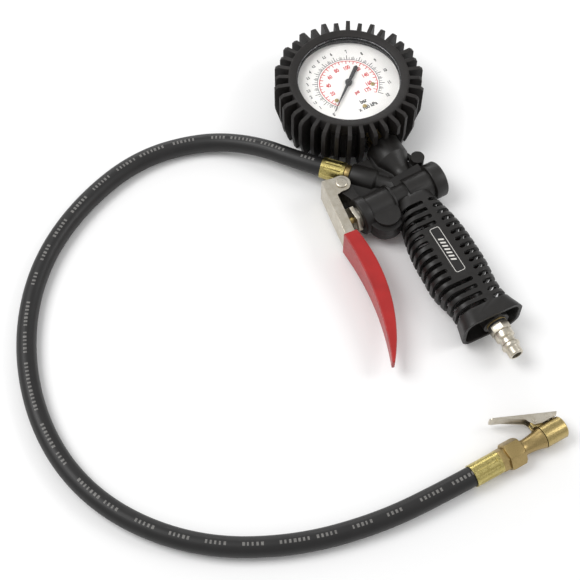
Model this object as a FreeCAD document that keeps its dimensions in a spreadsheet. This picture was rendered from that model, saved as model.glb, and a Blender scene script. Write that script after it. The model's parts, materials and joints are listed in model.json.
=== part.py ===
import FreeCAD, Part
import math
import os
import re
from types import SimpleNamespace

import Sketcher

# Tyre inflator with gauge: a hand-held valve gun with a trigger lever, an 80 mm Bourdon-tube gauge in
# a finned rubber boot, a hose and a clip-on tyre connector.
#
# The gun lies flat on the surface z = 0. +X runs along the valve barrel towards its rear cap, +Y runs
# up the handle towards the gauge and +Z is up. The point where the barrel's axis meets the handle's
# axis is "the head"; the places of the gun's parts are measured from it.

Vector = FreeCAD.Vector
UP = Vector(0, 0, 1)
AHEAD = Vector(1, 0, 0)
GAUGEWARD = Vector(0, 1, 0)

# ---------------------------------------------------------------- driving dimensions, in mm
SIZES = """
head_x 13.15               # the head from the row's origin
head_y -0.79
head_z 15                  # barrel, handle and hose port axes above the surface
handle_tilt 3              # degrees, the foot leans forward
port_angle 42              # degrees, the hose port from the gauge port

ring_radius 13.5           # barrel, from its front ring to its rear end
ring_front -44
ring_back -36.5
tube_radius 11.75
tube_back -18.2
flange_radius 13
flange_back -16.7
waist_radius 9
waist_back -4.7
rear_radius 11
rear_end 14.3
bore_radius 6.5
gland_radius 8
gland_seat -35.6
cap_spigot_radius 8.5
cap_spigot_front 8
edge_break 0.8

cup_neck_radius 7          # gauge cup and hose cup
cup_taper_start 20
cup_taper_end 29
gauge_cup_radius 12.8
gauge_cup_top 44
gauge_bush_radius 8
bush_length 14
hose_neck_radius 6.5
hose_cup_radius 8.8
hose_cup_start 34
hose_cup_top 45
hose_bush_radius 6
passage_radius 1.6
inlet_shift 9.8

web_half 2                 # mid-plane web, gusset and ribs, half thicknesses
gusset_half 5.5
saddle_half 7
ear_half 9
ear_radius 6
boss_radius 5
boss_half 8
lobe_radius 12.1           # finger stop under the barrel
lobe_half 5.5
lobe_top_radius 9.6
lobe_top_half 8.5

grip_wall 2.6              # hollow grip
grip_corner 9.5
slot_width 3.2
slot_first 17.9
slot_pitch 6.23
slot_front_end -1.3
slot_label_end -14.1
slot_rear_end 2.75
socket_radius 9.5          # inner socket for the air pipe and the boss in the foot
socket_length 24
foot_boss_radius 9.5
foot_boss_top 99
foot_end 118.4

pipe_radius 5.5
pipe_bore 4
pipe_top 14
insert_radius 7
insert_top 103
insert_across 13
insert_end 119
washer_end 120.4
plug_bore 3.5
plug_hex_end 126
rib_wide 5                 # ribs in the foot
rib_start 102
rib_end 117.4

label_across 9
label_down 39.5
label_shift -5.9
label_centre 59.7
label_top 13.9             # above the barrel axis
label_thick 1

nut_across 18              # gland nut, sleeve and spool
nut_front -48.5
nut_back -45.4
stem_radius 2.5
stem_slip 0.06
seal_radius 5
seal_front -38
sleeve_bore 4
land_radius 3.94
spool_tip -58.45
front_land_start -30
front_land_end -25
rear_land_start 4.2
rear_land_end 8
neck_radius 2
ring_wire 0.55
cap_radius 13.3
cap_end 24.5
cap_floor 22
cap_bore 4.2
spring_wire 0.8
spring_radius 3.1
spring_turns 7

pivot_x -43.3              # trigger lever
pivot_y 24.7
lever_half 11
lever_sheet 1.5
lever_round 6.5
lever_tip_half 3.4
lever_taper_start -18
lever_taper_end -112
pin_radius 2.5
pin_slip 0.05
pin_head_radius 4.2
pin_head 1.2
sleeve_skin 1.2

gauge_x 2.5                # gauge, centred on its own axis
gauge_y 92.4
boot_depth 43
boot_lip_radius 38
boot_ring_radius 44.2
boot_lip_drop 1.2          # the lip's inner edge below its outer edge
boot_ring_bottom 33
boot_wall_radius 42.2
boot_back_radius 34
boot_back 2
fin_long 54.8
fin_short 53.2
fin_root 41.7
fin_tip_height 40
fin_shoulder 42.4
fin_chamfer 2.4
fin_low_radius 50.5
fin_thick 2.9
fin_count 18
window_half 13             # gap in the boot for the gauge's stem
window_deep 26
relief_radius 4            # blow-out plug and its place above the gauge's axis
relief_flange 5
relief_up 22
case_radius 40.2
case_wall 1.2
case_top 36
bezel_radius 42.6
bezel_bottom 33.5
bezel_top 41.2
lens_radius 40.2
lens_bottom 37.6
lens_top 40.4
dial_radius 38.6
dial_bottom 32.2
dial_thick 0.8
dial_hole 2
socket_across 14
stem_hex_end 48.2
stem_thread 4.9
stem_end 60.5
stem_bore 1.5
block_half 8
block_near 15
block_bottom 8
block_top 17.5
tube_turn_radius 30
tube_half 1.6
tube_rise 3.5
tube_middle 13
tube_sweep 285             # degrees

plate_bottom 18            # gauge movement
plate_thick 1.2
plate_gap 7
plate_half_wide 18
plate_above 4.5            # the plates' edges above and below the gauge's axis
plate_below 27
pillar_radius 1.6
pillar_side 15.5
pillar_above 2
pillar_below 24.5
dial_sweep 268             # degrees, from the pointer's stop to the scale's end
dial_zero 51               # degrees, the zero mark clockwise from straight down
pinion_teeth 10
sector_teeth 80
gear_module 0.4
gear_thick 1.6
gear_height 21
arbor_radius 0.6
arbor_slip 0.04
tail_reach 7
link_thick 0.8
link_width 3.4
link_slot 6
link_play 0.4
coil_start 1.4             # hairspring
coil_growth 1.1
coil_thick 0.35
coil_high 1
pointer_height 34.4
pointer_thick 0.7
pointer_reach 31
pointer_tail 17
pointer_width 3.2
hub_radius 2.6
screw_radius 1.6

hose_radius 6.75           # hose, ferrules and tyre connector
hose_bore 3.2
hose_straight 32
ferrule_radius 7.75
ferrule_start 49.5
ferrule_end 66.7
collar_radius 6.9
chuck_x -78.7
chuck_y -200
chuck_z 8.5
chuck_ferrule 20.5
chuck_ferrule_radius 7.6
chuck_hex_small 14
chuck_hex_small_end 25.5
chuck_hex 17
chuck_hex_end 37
chuck_neck_radius 5.15
chuck_flare_radius 7.2
chuck_flare_end 54
chuck_head_radius 7.5
chuck_head_start 54.4
chuck_end 70.7
chuck_mouth_radius 4.2
chuck_seal_front 62
chuck_seal_back 60
chuck_seal_radius 5.5
chuck_air 2
clip_lean 90               # degrees, the clip about the connector's axis
clip_pin_along 55
clip_pin_height 11
clip_pin_radius 1.2
clip_half 4.8
clip_sheet 0.9
clip_corner 2.4
claw_half 2.2
lug_inner 2
lug_half 3.6
slot_start 65.9            # the claw's window in the head
slot_end 70.2
slot_half 2.8
flute_radius 1.1           # crimp grooves in both ferrules
flute_bite 0.55
flute_inset 2.5
tail_bore 2.2
"""

# The grip's cross-sections down the handle: distance, sideways shift, half width, half thickness.
GRIP = {
    "throat": (8, -2.5, 13.5, 11.5),
    "shoulder": (18, -3.4, 15.6, 12.6),
    "swell": (32, -3.9, 18.8, 13.3),
    "palm": (50, -4.6, 21.3, 13.6),
    "belly": (69, -5.0, 21.8, 13.7),
    "hollow": (87, -5.2, 20.5, 13.6),
    "wrist": (103, -3.9, 19.0, 13.4),
    "flare": (110, -3.4, 20.3, 14.1),
    "foot": (118, -2.8, 22.5, 14.9),
}

# Named points of the trigger lever's side view, from the head.
LEVER = {
    "heel": (-55, 32.8),
    "elbow": (-50.5, 17.9),
    "front_mouth": (-62.5, -13.7),
    "front_bow": (-67.6, -60),
    "front_end": (-73.6, -90),
    "rear_mouth": (-55.2, -13.7),
    "rear_bow": (-57.8, -52),
    "rear_end": (-70.8, -90),
    "grip_front": (-63.9, -13),
    "grip_front_bow": (-69.8, -68),
    "grip_front_tip": (-83.8, -110.2),
    "grip_rear": (-53.9, -14),
    "grip_rear_bow": (-58.4, -66),
    "grip_rear_tip": (-82, -111),
}

# Named points of the clip lever's side view: along the connector, height above its axis.
CLIP = {
    "tail_top": (30.4, 26.6),
    "jaw_top": (71.4, 9.3),
    "jaw_foot": (69.6, 7.3),
    "ear_front": (58.5, 7.3),
    "ear_back": (53.3, 8.8),
    "throat_back": (50.5, 14.6),
    "skirt_back": (41.5, 20.2),
    "tail_foot": (37.5, 22.62),
    "tail_end": (30.05, 25.77),
}

# Named points of the clip's claw, in the same view.
CLAW = {
    "root_back": (66.3, 13),
    "root_front": (68.6, 13),
    "foot_front": (68.6, 4.4),
    "foot_back": (67.1, 4.4),
}

# The air plug's profile behind its hexagon: radius, distance down the handle.
PLUG = [
    (6.2, 126),
    (6.75, 126.6),
    (6.75, 131),
    (5.2, 132),
    (5.2, 135.4),
    (6.45, 136.4),
    (6.45, 138.4),
    (5.15, 139.6),
    (5.15, 144.4),
    (4.4, 145.2),
]

# The flat plates that tie the gun's barrel, cups and grip together: their corners from the head.
PLATES = {
    "web": [(-26, 36), (-18.7, 37.4), (-11.9, 37.2), (-7.8, 42.4), (2, 42.4), (2, 0), (-38, 0), (-38, 24)],
    "gusset": [(-24.5, 36.8), (-14.2, 36.2), (-14.5, 25), (-8.7, 17.7), (-8.7, 8), (-15, 12), (-22, 24)],
    "saddle": [(-10, 6), (-10, 12.6), (4, 13.6), (14.3, 14.4), (14.3, 6)],
    "bridge": [(2, 38), (12.5, 36), (17.5, 22), (17.5, 14.6), (14, 14.2), (12, 10), (2, 10)],
    "triangle": [(8.6, 26), (13.6, 24.6), (12.2, 20.6)],
}

# Round posts on the gun's mid-plane, from the head.
BOSS_AT = (16.8, 18.7)
LOBE_AT = (-28.5, -12)
LOBE_TOP_AT = (-27.5, -11.5)

# The hose's route from where it bends down off the gun's ferrule to inside the connector's, from
# the head. It starts inside the gun's ferrule and runs straight out of it for hose_straight first.
HOSE = [
    (-76, 94.5, 10.5),
    (-108, 118.5, 6.75),
    (-156, 127, 6.75),
    (-208.5, 111.5, 6.75),
    (-253, 82, 6.75),
    (-285.5, 38, 6.75),
    (-303, -15, 6.75),
    (-303.5, -68, 6.75),
    (-285.5, -115.5, 6.75),
    (-249, -157, 6.75),
    (-199, -184, 6.75),
    (-146, -197, 6.9),
    (-96.2, -200, 8.5),
    (-58.2, -200, 8.5),
]

doc = FreeCAD.newDocument("TyreInflator")
sheet = doc.addObject("Spreadsheet::Sheet", "Sizes")
nodes = []


# ---------------------------------------------------------------- the sheet
def fill_sheet():
    """Write every driving dimension into the sheet and return them by name."""
    rows = {}
    for line in SIZES.strip().splitlines():
        words = line.split()
        if words:
            rows[words[0]] = float(words[1])
    for name, measures in GRIP.items():
        for part, measure in zip(("down", "shift", "half", "thick"), measures):
            rows[f"{name}_{part}"] = measure
    for prefix, table in (("lever", LEVER), ("clip", CLIP), ("claw", CLAW)):
        for name, (across, high) in table.items():
            rows[f"{prefix}_{name}_a"] = across
            rows[f"{prefix}_{name}_b"] = high
    for number, (radius, down) in enumerate(PLUG):
        rows[f"plug{number}_radius"] = radius
        rows[f"plug{number}_down"] = down
    for row, (name, measure) in enumerate(rows.items(), 1):
        sheet.set(f"A{row}", name)
        sheet.set(f"B{row}", str(measure))
        sheet.setAlias(f"B{row}", name)
    doc.recompute()
    return SimpleNamespace(**{name: float(sheet.get(name)) for name in rows})


S = fill_sheet()


def formula(text):
    """Turn each word of a formula into the sheet's cell of that name."""
    return re.sub(r"[a-z][a-z0-9_]*", lambda word: "Sizes." + word.group(0), text)


def bind(thing, prop, text):
    thing.setExpression(prop, formula(text))


# ---------------------------------------------------------------- places
def at(across, up_handle, high=None):
    """A point given from the head; the barrel axis' height unless another is given."""
    return Vector(S.head_x + across, S.head_y + up_handle, S.head_z if high is None else high)


def pointing(direction, base):
    """A placement at base whose own Z looks along direction."""
    return FreeCAD.Placement(base, FreeCAD.Rotation(UP, direction))


TILT = math.radians(S.handle_tilt)
PORT = math.radians(S.port_angle)
LEAN = math.radians(S.clip_lean)
DOWN_HANDLE = Vector(-math.sin(TILT), -math.cos(TILT), 0)
ACROSS_HANDLE = Vector(math.cos(TILT), -math.sin(TILT), 0)
DOWN_PORT = Vector(-math.sin(PORT), math.cos(PORT), 0)
CLIP_UP = Vector(0, math.sin(LEAN), math.cos(LEAN))
CLIP_SIDE = AHEAD.cross(CLIP_UP)

BARREL = pointing(AHEAD, at(0, 0))
HANDLE = FreeCAD.Placement(at(0, 0), FreeCAD.Rotation(ACROSS_HANDLE, UP, DOWN_HANDLE, "ZXY"))
HOSE_PORT = FreeCAD.Placement(at(0, 0), FreeCAD.Rotation(UP, UP.cross(DOWN_PORT) * -1, DOWN_PORT, "ZXY"))
GAUGE_PORT = pointing(GAUGEWARD, at(S.gauge_x, 0))
GAUGE = pointing(UP, at(S.gauge_x, S.gauge_y, 0))
LEVER_PIN = pointing(UP, at(S.pivot_x, S.pivot_y))
CHUCK = FreeCAD.Placement(
    at(S.chuck_x, S.chuck_y, S.chuck_z), FreeCAD.Rotation(UP, GAUGEWARD, AHEAD, "ZXY")
)
# The clip's frame: X along the connector, Y outwards through the clip, Z along its pin.
CLIP_FRAME = FreeCAD.Placement(
    at(S.chuck_x, S.chuck_y, S.chuck_z), FreeCAD.Rotation(AHEAD, CLIP_UP, CLIP_SIDE, "ZXY")
)


# ---------------------------------------------------------------- building blocks
def node(thing, label):
    """Name a finished sub-part, which also names its file."""
    thing.Label = label
    nodes.append(thing)
    return thing


def plane(body, role):
    return next(part for part in body.Origin.OriginFeatures if part.Role == role)


def sketch_on(body, role, label, offset=None):
    sketch = body.newObject("Sketcher::SketchObject", label)
    sketch.AttachmentSupport = (plane(body, role), [""])
    sketch.MapMode = "FlatFace"
    if offset is not None:
        sketch.AttachmentOffset = offset
    return sketch


def draw_outline(sketch, corners):
    """Draw a closed outline whose corners sit at formulas of the sheet's cells."""
    count = len(corners)
    start = [Vector(1 + index, 1 + index * index / 2, 0) for index in range(count)]
    for index in range(count):
        sketch.addGeometry(Part.LineSegment(start[index], start[(index + 1) % count]), False)
    for index in range(count):
        joint = Sketcher.Constraint("Coincident", index, 2, (index + 1) % count, 1)
        sketch.addConstraint(joint)
    for index, corner in enumerate(corners):
        for kind, text in zip(("DistanceX", "DistanceY"), corner):
            row = sketch.addConstraint(Sketcher.Constraint(kind, -1, 1, index, 1, 1.0 + index))
            sketch.setExpression(f"Constraints[{row}]", formula(text))


def draw_rounded(sketch, shift, half_wide, half_high, corner, start):
    """Draw a rounded rectangle; start holds its sizes as numbers for the first drawing."""
    middle, wide, high, round_off = start
    inner_wide, inner_high = wide - round_off, high - round_off
    turns = ((1, 1), (-1, 1), (-1, -1), (1, -1))
    for index, (side, rise) in enumerate(turns):
        centre = Vector(middle + side * inner_wide, rise * inner_high, 0)
        circle = Part.Circle(centre, UP, round_off)
        first = math.radians(90 * index)
        sketch.addGeometry(Part.ArcOfCircle(circle, first, first + math.pi / 2), False)
    ends = (
        ((inner_wide, high), (-inner_wide, high)),
        ((-wide, inner_high), (-wide, -inner_high)),
        ((-inner_wide, -high), (inner_wide, -high)),
        ((wide, -inner_high), (wide, inner_high)),
    )
    for (x1, y1), (x2, y2) in ends:
        line = Part.LineSegment(Vector(middle + x1, y1, 0), Vector(middle + x2, y2, 0))
        sketch.addGeometry(line, False)
    for index in range(4):
        sketch.addConstraint(Sketcher.Constraint("Tangent", index, 2, 4 + index, 1))
        sketch.addConstraint(Sketcher.Constraint("Tangent", 4 + index, 2, (index + 1) % 4, 1))
        kind = "Horizontal" if index % 2 == 0 else "Vertical"
        sketch.addConstraint(Sketcher.Constraint(kind, 4 + index))
    for index in range(3):
        sketch.addConstraint(Sketcher.Constraint("Equal", index, index + 1))
    limits = (
        (Sketcher.Constraint("Radius", 0, round_off), corner),
        (Sketcher.Constraint("DistanceY", -1, 1, 4, 1, high), half_high),
        (Sketcher.Constraint("DistanceY", -1, 1, 6, 1, -high), f"-({half_high})"),
        (Sketcher.Constraint("DistanceX", -1, 1, 7, 1, middle + wide), f"{shift} + ({half_wide})"),
        (Sketcher.Constraint("DistanceX", -1, 1, 5, 1, middle - wide), f"{shift} - ({half_wide})"),
    )
    for constraint, text in limits:
        row = sketch.addConstraint(constraint)
        sketch.setExpression(f"Constraints[{row}]", formula(text))


def new_body(label, place):
    body = doc.addObject("PartDesign::Body", label)
    body.Label = label
    body.Placement = place
    return body


def turned(label, corners, place):
    """A body turned about its own Z from an outline of (radius, height) formulas."""
    body = new_body(label, place)
    sketch = sketch_on(body, "XZ_Plane", label + "_outline")
    draw_outline(sketch, corners)
    turn = body.newObject("PartDesign::Revolution", label + "_turn")
    turn.Profile = sketch
    turn.ReferenceAxis = (sketch, ["V_Axis"])
    turn.Angle = 360
    return body


def padded(label, corners, bottom, height, place):
    """A body whose outline lies in its own XY plane, padded from bottom upwards."""
    body = new_body(label, place)
    sketch = sketch_on(body, "XY_Plane", label + "_outline")
    bind(sketch, "AttachmentOffset.Base.z", bottom)
    draw_outline(sketch, corners)
    pad = body.newObject("PartDesign::Pad", label + "_pad")
    pad.Profile = sketch
    bind(pad, "Length", height)
    return body


def ring(label, inner, outer, start, end, place):
    """A tube or washer between two radii and two heights."""
    return turned(label, [(inner, start), (outer, start), (outer, end), (inner, end)], place)


def rod(label, radius, start, end, place):
    """A plain round rod along the placement's Z."""
    return ring(label, "0", radius, start, end, place)


def hexagon(label, across, start, end, place):
    """A hexagonal prism with two flats facing the placement's X."""
    solid = doc.addObject("Part::Prism", label)
    solid.Polygon = 6
    bind(solid, "Circumradius", f"({across}) / 1.7320508")
    bind(solid, "Height", f"({end}) - ({start})")
    turn = FreeCAD.Placement(Vector(0, 0, 0), FreeCAD.Rotation(UP, 30))
    shift = FreeCAD.Placement(UP * doc_value(start), FreeCAD.Rotation())
    solid.Placement = place.multiply(shift).multiply(turn)
    return solid


def doc_value(text):
    """The number behind one name or plain number of a formula."""
    return getattr(S, text) if text[0].isalpha() else float(text)


def o_ring(label, middle, wire, height, place):
    solid = doc.addObject("Part::Torus", label)
    bind(solid, "Radius1", middle)
    bind(solid, "Radius2", wire)
    shift = FreeCAD.Placement(UP * height, FreeCAD.Rotation())
    solid.Placement = place.multiply(shift)
    return solid


def fused(label, parts):
    solid = doc.addObject("Part::MultiFuse", label)
    solid.Shapes = parts
    return solid


def cut(label, base, tools):
    solid = doc.addObject("Part::Cut", label)
    solid.Base = base
    solid.Tool = tools[0] if len(tools) == 1 else fused(label + "_tools", tools)
    return solid


def grouped(label, parts):
    """Identical separate solids that share one node."""
    group = doc.addObject("Part::Compound", label)
    group.Links = parts
    return group


def shaped(label, shape, place=None):
    """A feature that holds a ready shape, moved to its place."""
    feature = doc.addObject("Part::Feature", label)
    feature.Shape = shape
    if place is not None:
        feature.Placement = place.multiply(feature.Placement)
    return feature


def level(base):
    """A placement that only moves."""
    return FreeCAD.Placement(base, FreeCAD.Rotation())


def coil(radius, wire, start, end, turns):
    """A coil spring along Z between two heights, as a swept shape."""
    pitch = (end - start - 2 * wire) / turns
    helix = Part.makeHelix(pitch, pitch * turns, radius)
    section = Part.Wire([Part.makeCircle(wire / 2, Vector(radius, 0, 0), Vector(0, 1, 0))])
    spring = Part.Wire(helix.Edges).makePipeShell([section], True, True)
    spring.translate(UP * (start + wire))
    return spring


# ---------------------------------------------------------------- the moulded gun body
def grip_sections(body, inset, first):
    """The grip's cross-sections, drawn in by inset, from station number first on."""
    sketches = []
    for name, (down, shift, half, thick) in list(GRIP.items())[first:]:
        sketch = sketch_on(body, "XY_Plane", f"{body.Label}_{name}_{inset}")
        bind(sketch, "AttachmentOffset.Base.z", f"{name}_down")
        less = S.grip_wall if inset else 0
        start = (shift, half - less, thick - less, S.grip_corner - less)
        wall = " - grip_wall" if inset else ""
        draw_rounded(
            sketch,
            f"{name}_shift",
            f"{name}_half{wall}",
            f"{name}_thick{wall}",
            "grip_corner" + wall,
            start,
        )
        sketches.append(sketch)
    return sketches


def grip_shell():
    """The hollow grip: one loft taken out of another."""
    body = new_body("grip_blank", HANDLE)
    outer = grip_sections(body, False, 0)
    skin = body.newObject("PartDesign::AdditiveLoft", "grip_outside")
    skin.Profile = outer[0]
    skin.Sections = outer[1:]
    doc.recompute()
    inner = grip_sections(body, True, 0)
    hollow = body.newObject("PartDesign::SubtractiveLoft", "grip_inside")
    hollow.Profile = inner[0]
    hollow.Sections = inner[1:]
    return body


def slot_cutters():
    """Round-ended slots that wrap the grip's front and rear edges."""
    cutters = []
    for row in range(15):
        beside_label = 4 <= row <= 10
        down = S.slot_first + row * S.slot_pitch
        front = "slot_label_end" if beside_label else "slot_front_end"
        for side, end, reach in (("front", front, -40), ("rear", "slot_rear_end", 40)):
            label = f"slot_{side}_{row}"
            block = doc.addObject("Part::Box", label)
            sign = math.copysign(1, reach)
            near = doc_value(end) + sign * S.slot_width / 2
            bind(block, "Width", "2 * foot_thick + 2")
            bind(block, "Height", "slot_width")
            block.Length = abs(reach - near)
            corner = Vector(min(near, reach), -S.foot_thick - 1, down - S.slot_width / 2)
            block.Placement = HANDLE.multiply(FreeCAD.Placement(corner, FreeCAD.Rotation()))
            rounding = doc.addObject("Part::Cylinder", label + "_end")
            bind(rounding, "Radius", "slot_width / 2")
            bind(rounding, "Height", "2 * foot_thick + 2")
            base = Vector(near, S.foot_thick + 1, down)
            turn = FreeCAD.Rotation(UP, Vector(0, -1, 0))
            rounding.Placement = HANDLE.multiply(FreeCAD.Placement(base, turn))
            cutters += [block, rounding]
    return cutters


def slab(label, corners, half):
    """A flat plate on the gun's mid-plane, from corners given from the head."""
    return padded(label, corners, f"-({half})", f"2 * ({half})", level(at(0, 0)))


def plate(label, half):
    corners = [(str(across), str(high)) for across, high in PLATES[label]]
    return slab(label, corners, half)


def upright(label, radius, half, across, up_handle):
    """A round post standing across the gun's mid-plane."""
    return rod(label, radius, f"-({half})", half, pointing(UP, at(across, up_handle)))


def gun_body():
    """One nylon moulding: barrel, cups, ribs, lever ear, finger stop and slotted grip."""
    shell = cut("slotted_grip", grip_shell(), slot_cutters())
    barrel = turned(
        "barrel",
        [
            ("0", "ring_front"),
            ("ring_radius - edge_break", "ring_front"),
            ("ring_radius", "ring_front + edge_break"),
            ("ring_radius", "ring_back - edge_break"),
            ("ring_radius - edge_break", "ring_back"),
            ("tube_radius", "ring_back"),
            ("tube_radius", "tube_back"),
            ("flange_radius", "tube_back"),
            ("flange_radius", "flange_back"),
            ("waist_radius", "flange_back"),
            ("waist_radius", "waist_back"),
            ("rear_radius", "waist_back"),
            ("rear_radius", "rear_end"),
            ("0", "rear_end"),
        ],
        BARREL,
    )
    gauge_cup = turned(
        "gauge_cup",
        [
            ("0", "0"),
            ("cup_neck_radius", "0"),
            ("cup_neck_radius", "cup_taper_start - 3"),
            ("cup_neck_radius + 1", "cup_taper_start"),
            ("gauge_cup_radius", "cup_taper_end"),
            ("gauge_cup_radius", "gauge_cup_top - edge_break"),
            ("gauge_cup_radius - edge_break", "gauge_cup_top"),
            ("0", "gauge_cup_top"),
        ],
        GAUGE_PORT,
    )
    hose_cup = turned(
        "hose_cup",
        [
            ("0", "0"),
            ("hose_neck_radius", "0"),
            ("hose_neck_radius", "hose_cup_start - 9"),
            ("hose_cup_radius", "hose_cup_start - 7"),
            ("hose_cup_radius", "hose_cup_top - edge_break"),
            ("hose_cup_radius - edge_break", "hose_cup_top"),
            ("0", "hose_cup_top"),
        ],
        HOSE_PORT,
    )
    ear = slab(
        "ear",
        [
            ("ring_front + 0.6", "8"),
            ("ring_back - 0.6", "8"),
            ("pivot_x + ear_radius - 0.4", "pivot_y"),
            ("pivot_x - ear_radius + 0.4", "pivot_y"),
            ("ring_front", "12"),
        ],
        "ear_half",
    )
    solid = fused(
        "gun_blank",
        [
            shell,
            barrel,
            gauge_cup,
            hose_cup,
            plate("web", "web_half"),
            plate("gusset", "gusset_half"),
            plate("saddle", "saddle_half"),
            plate("bridge", "web_half"),
            ear,
            upright("ear_round", "ear_radius", "ear_half", S.pivot_x, S.pivot_y),
            upright("small_boss", "boss_radius", "boss_half", *BOSS_AT),
            upright("finger_stop", "lobe_radius", "lobe_half", *LOBE_AT),
            upright("finger_stop_top", "lobe_top_radius", "lobe_top_half", *LOBE_TOP_AT),
            rod("pipe_socket", "socket_radius", "0", "socket_length", HANDLE),
            rod("foot_boss", "foot_boss_radius", "foot_boss_top", "foot_end", HANDLE),
            foot_ribs(),
        ],
    )
    inlet_top = at(S.inlet_shift, -S.sleeve_bore)
    inlet_foot = HANDLE.multVec(UP * (S.pipe_top + 3))
    inlet = pointing(inlet_top - inlet_foot, inlet_foot)
    reach = (inlet_top - inlet_foot).Length
    inlet_hole = doc.addObject("Part::Cylinder", "inlet_hole")
    bind(inlet_hole, "Radius", "passage_radius")
    inlet_hole.Height = reach
    inlet_hole.Placement = inlet
    gauge_bush_start = "gauge_cup_top - bush_length"
    hose_bush_start = "hose_cup_top - bush_length"
    holes = [
        rod("barrel_bore", "bore_radius", "ring_front - 1", "rear_end + 1", BARREL),
        rod("gland_bore", "gland_radius", "ring_front - 1", "gland_seat", BARREL),
        rod("cap_bore_hole", "cap_spigot_radius", "cap_spigot_front", "rear_end + 1", BARREL),
        rod("gauge_bore", "gauge_bush_radius", gauge_bush_start, "gauge_cup_top + 1", GAUGE_PORT),
        rod("gauge_passage", "passage_radius", "0", "gauge_cup_top", GAUGE_PORT),
        rod("hose_bore_hole", "hose_bush_radius", hose_bush_start, "hose_cup_top + 1", HOSE_PORT),
        rod("hose_passage", "passage_radius", "0", "hose_cup_top", HOSE_PORT),
        upright("ear_hole", "pin_radius", "ear_half + 1", S.pivot_x, S.pivot_y),
        rod("pipe_hole", "pipe_radius", "pipe_top", "foot_end", HANDLE),
        rod("insert_hole", "insert_radius", "insert_top", "foot_end + 1", HANDLE),
        inlet_hole,
        plate("triangle", "web_half + 1"),
        label_recess(),
    ]
    return node(cut("gun_body_cut", solid, holes), "gun_body")


def foot_ribs():
    """The two short ribs that hold the foot's boss to its top and bottom walls."""
    block = doc.addObject("Part::Box", "foot_ribs")
    bind(block, "Length", "rib_wide")
    bind(block, "Width", "2 * (wrist_thick - grip_wall / 2)")
    bind(block, "Height", "rib_end - rib_start")
    corner = Vector(-S.rib_wide / 2, -(S.wrist_thick - S.grip_wall / 2), S.rib_start)
    block.Placement = HANDLE.multiply(FreeCAD.Placement(corner, FreeCAD.Rotation()))
    return block


def label_block(label, inset, top, bottom):
    """A rounded tablet lying on the grip's upper side, in the handle's own frame."""
    place = HANDLE.multiply(
        FreeCAD.Placement(
            Vector(S.label_shift, 0, S.label_centre), FreeCAD.Rotation(AHEAD, -90)
        )
    )
    body = new_body(label, place)
    sketch = sketch_on(body, "XY_Plane", label + "_outline")
    bind(sketch, "AttachmentOffset.Base.z", bottom)
    start = (0, S.label_across / 2 - inset, S.label_down / 2 - inset, 2.5)
    less = f" - {inset}"
    draw_rounded(sketch, "0", "label_across / 2" + less, "label_down / 2" + less, "2.5", start)
    pad = body.newObject("PartDesign::Pad", label + "_pad")
    pad.Profile = sketch
    bind(pad, "Length", f"{top} - ({bottom})")
    return body


def label_recess():
    return label_block("label_recess", 0, "label_top + 2", "label_top - label_thick")


def label_plate():
    node(label_block("label_tablet", 0, "label_top", "label_top - label_thick"), "label_plate")


# ---------------------------------------------------------------- air path in the gun
def gun_fittings():
    """Bushes, inlet pipe, foot insert and the air plug."""
    for port, inner, place in (
        ("gauge", "stem_thread", GAUGE_PORT),
        ("hose", "hose_bush_radius - 1.5", HOSE_PORT),
    ):
        top = f"{port}_cup_top"
        bush = ring(f"bush_{port}", inner, f"{port}_bush_radius", f"{top} - bush_length", top, place)
        node(bush, f"{port}_port_bush")
    node(ring("pipe", "pipe_bore", "pipe_radius", "pipe_top", "insert_top", HANDLE), "inlet_pipe")
    insert = turned(
        "insert",
        [
            ("pipe_bore + 1", "insert_top"),
            ("insert_radius", "insert_top"),
            ("insert_radius", "insert_end"),
            ("pipe_bore + 1", "insert_end"),
        ],
        HANDLE,
    )
    node(insert, "base_insert")
    washer = ring("washer", "pipe_bore + 1", "insert_radius - 0.2", "insert_end", "washer_end", HANDLE)
    node(washer, "plug_washer")
    hexes = hexagon("plug_hex", "insert_across", "washer_end", "plug_hex_end", HANDLE)
    profile = [(f"plug{number}_radius", f"plug{number}_down") for number in range(len(PLUG))]
    thread = [
        ("plug_bore", "insert_top + 2"),
        ("pipe_bore + 1", "insert_top + 2"),
        ("pipe_bore + 1", "plug_hex_end"),
    ]
    nose_end = profile[-1][1]
    stem = turned("plug_turned", thread + profile + [("plug_bore", nose_end)], HANDLE)
    hollow = rod("plug_hollow", "plug_bore", "insert_top + 1", f"{nose_end} + 1", HANDLE)
    node(cut("plug_cut", fused("plug_blank", [hexes, stem]), [hollow]), "air_plug")


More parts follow.
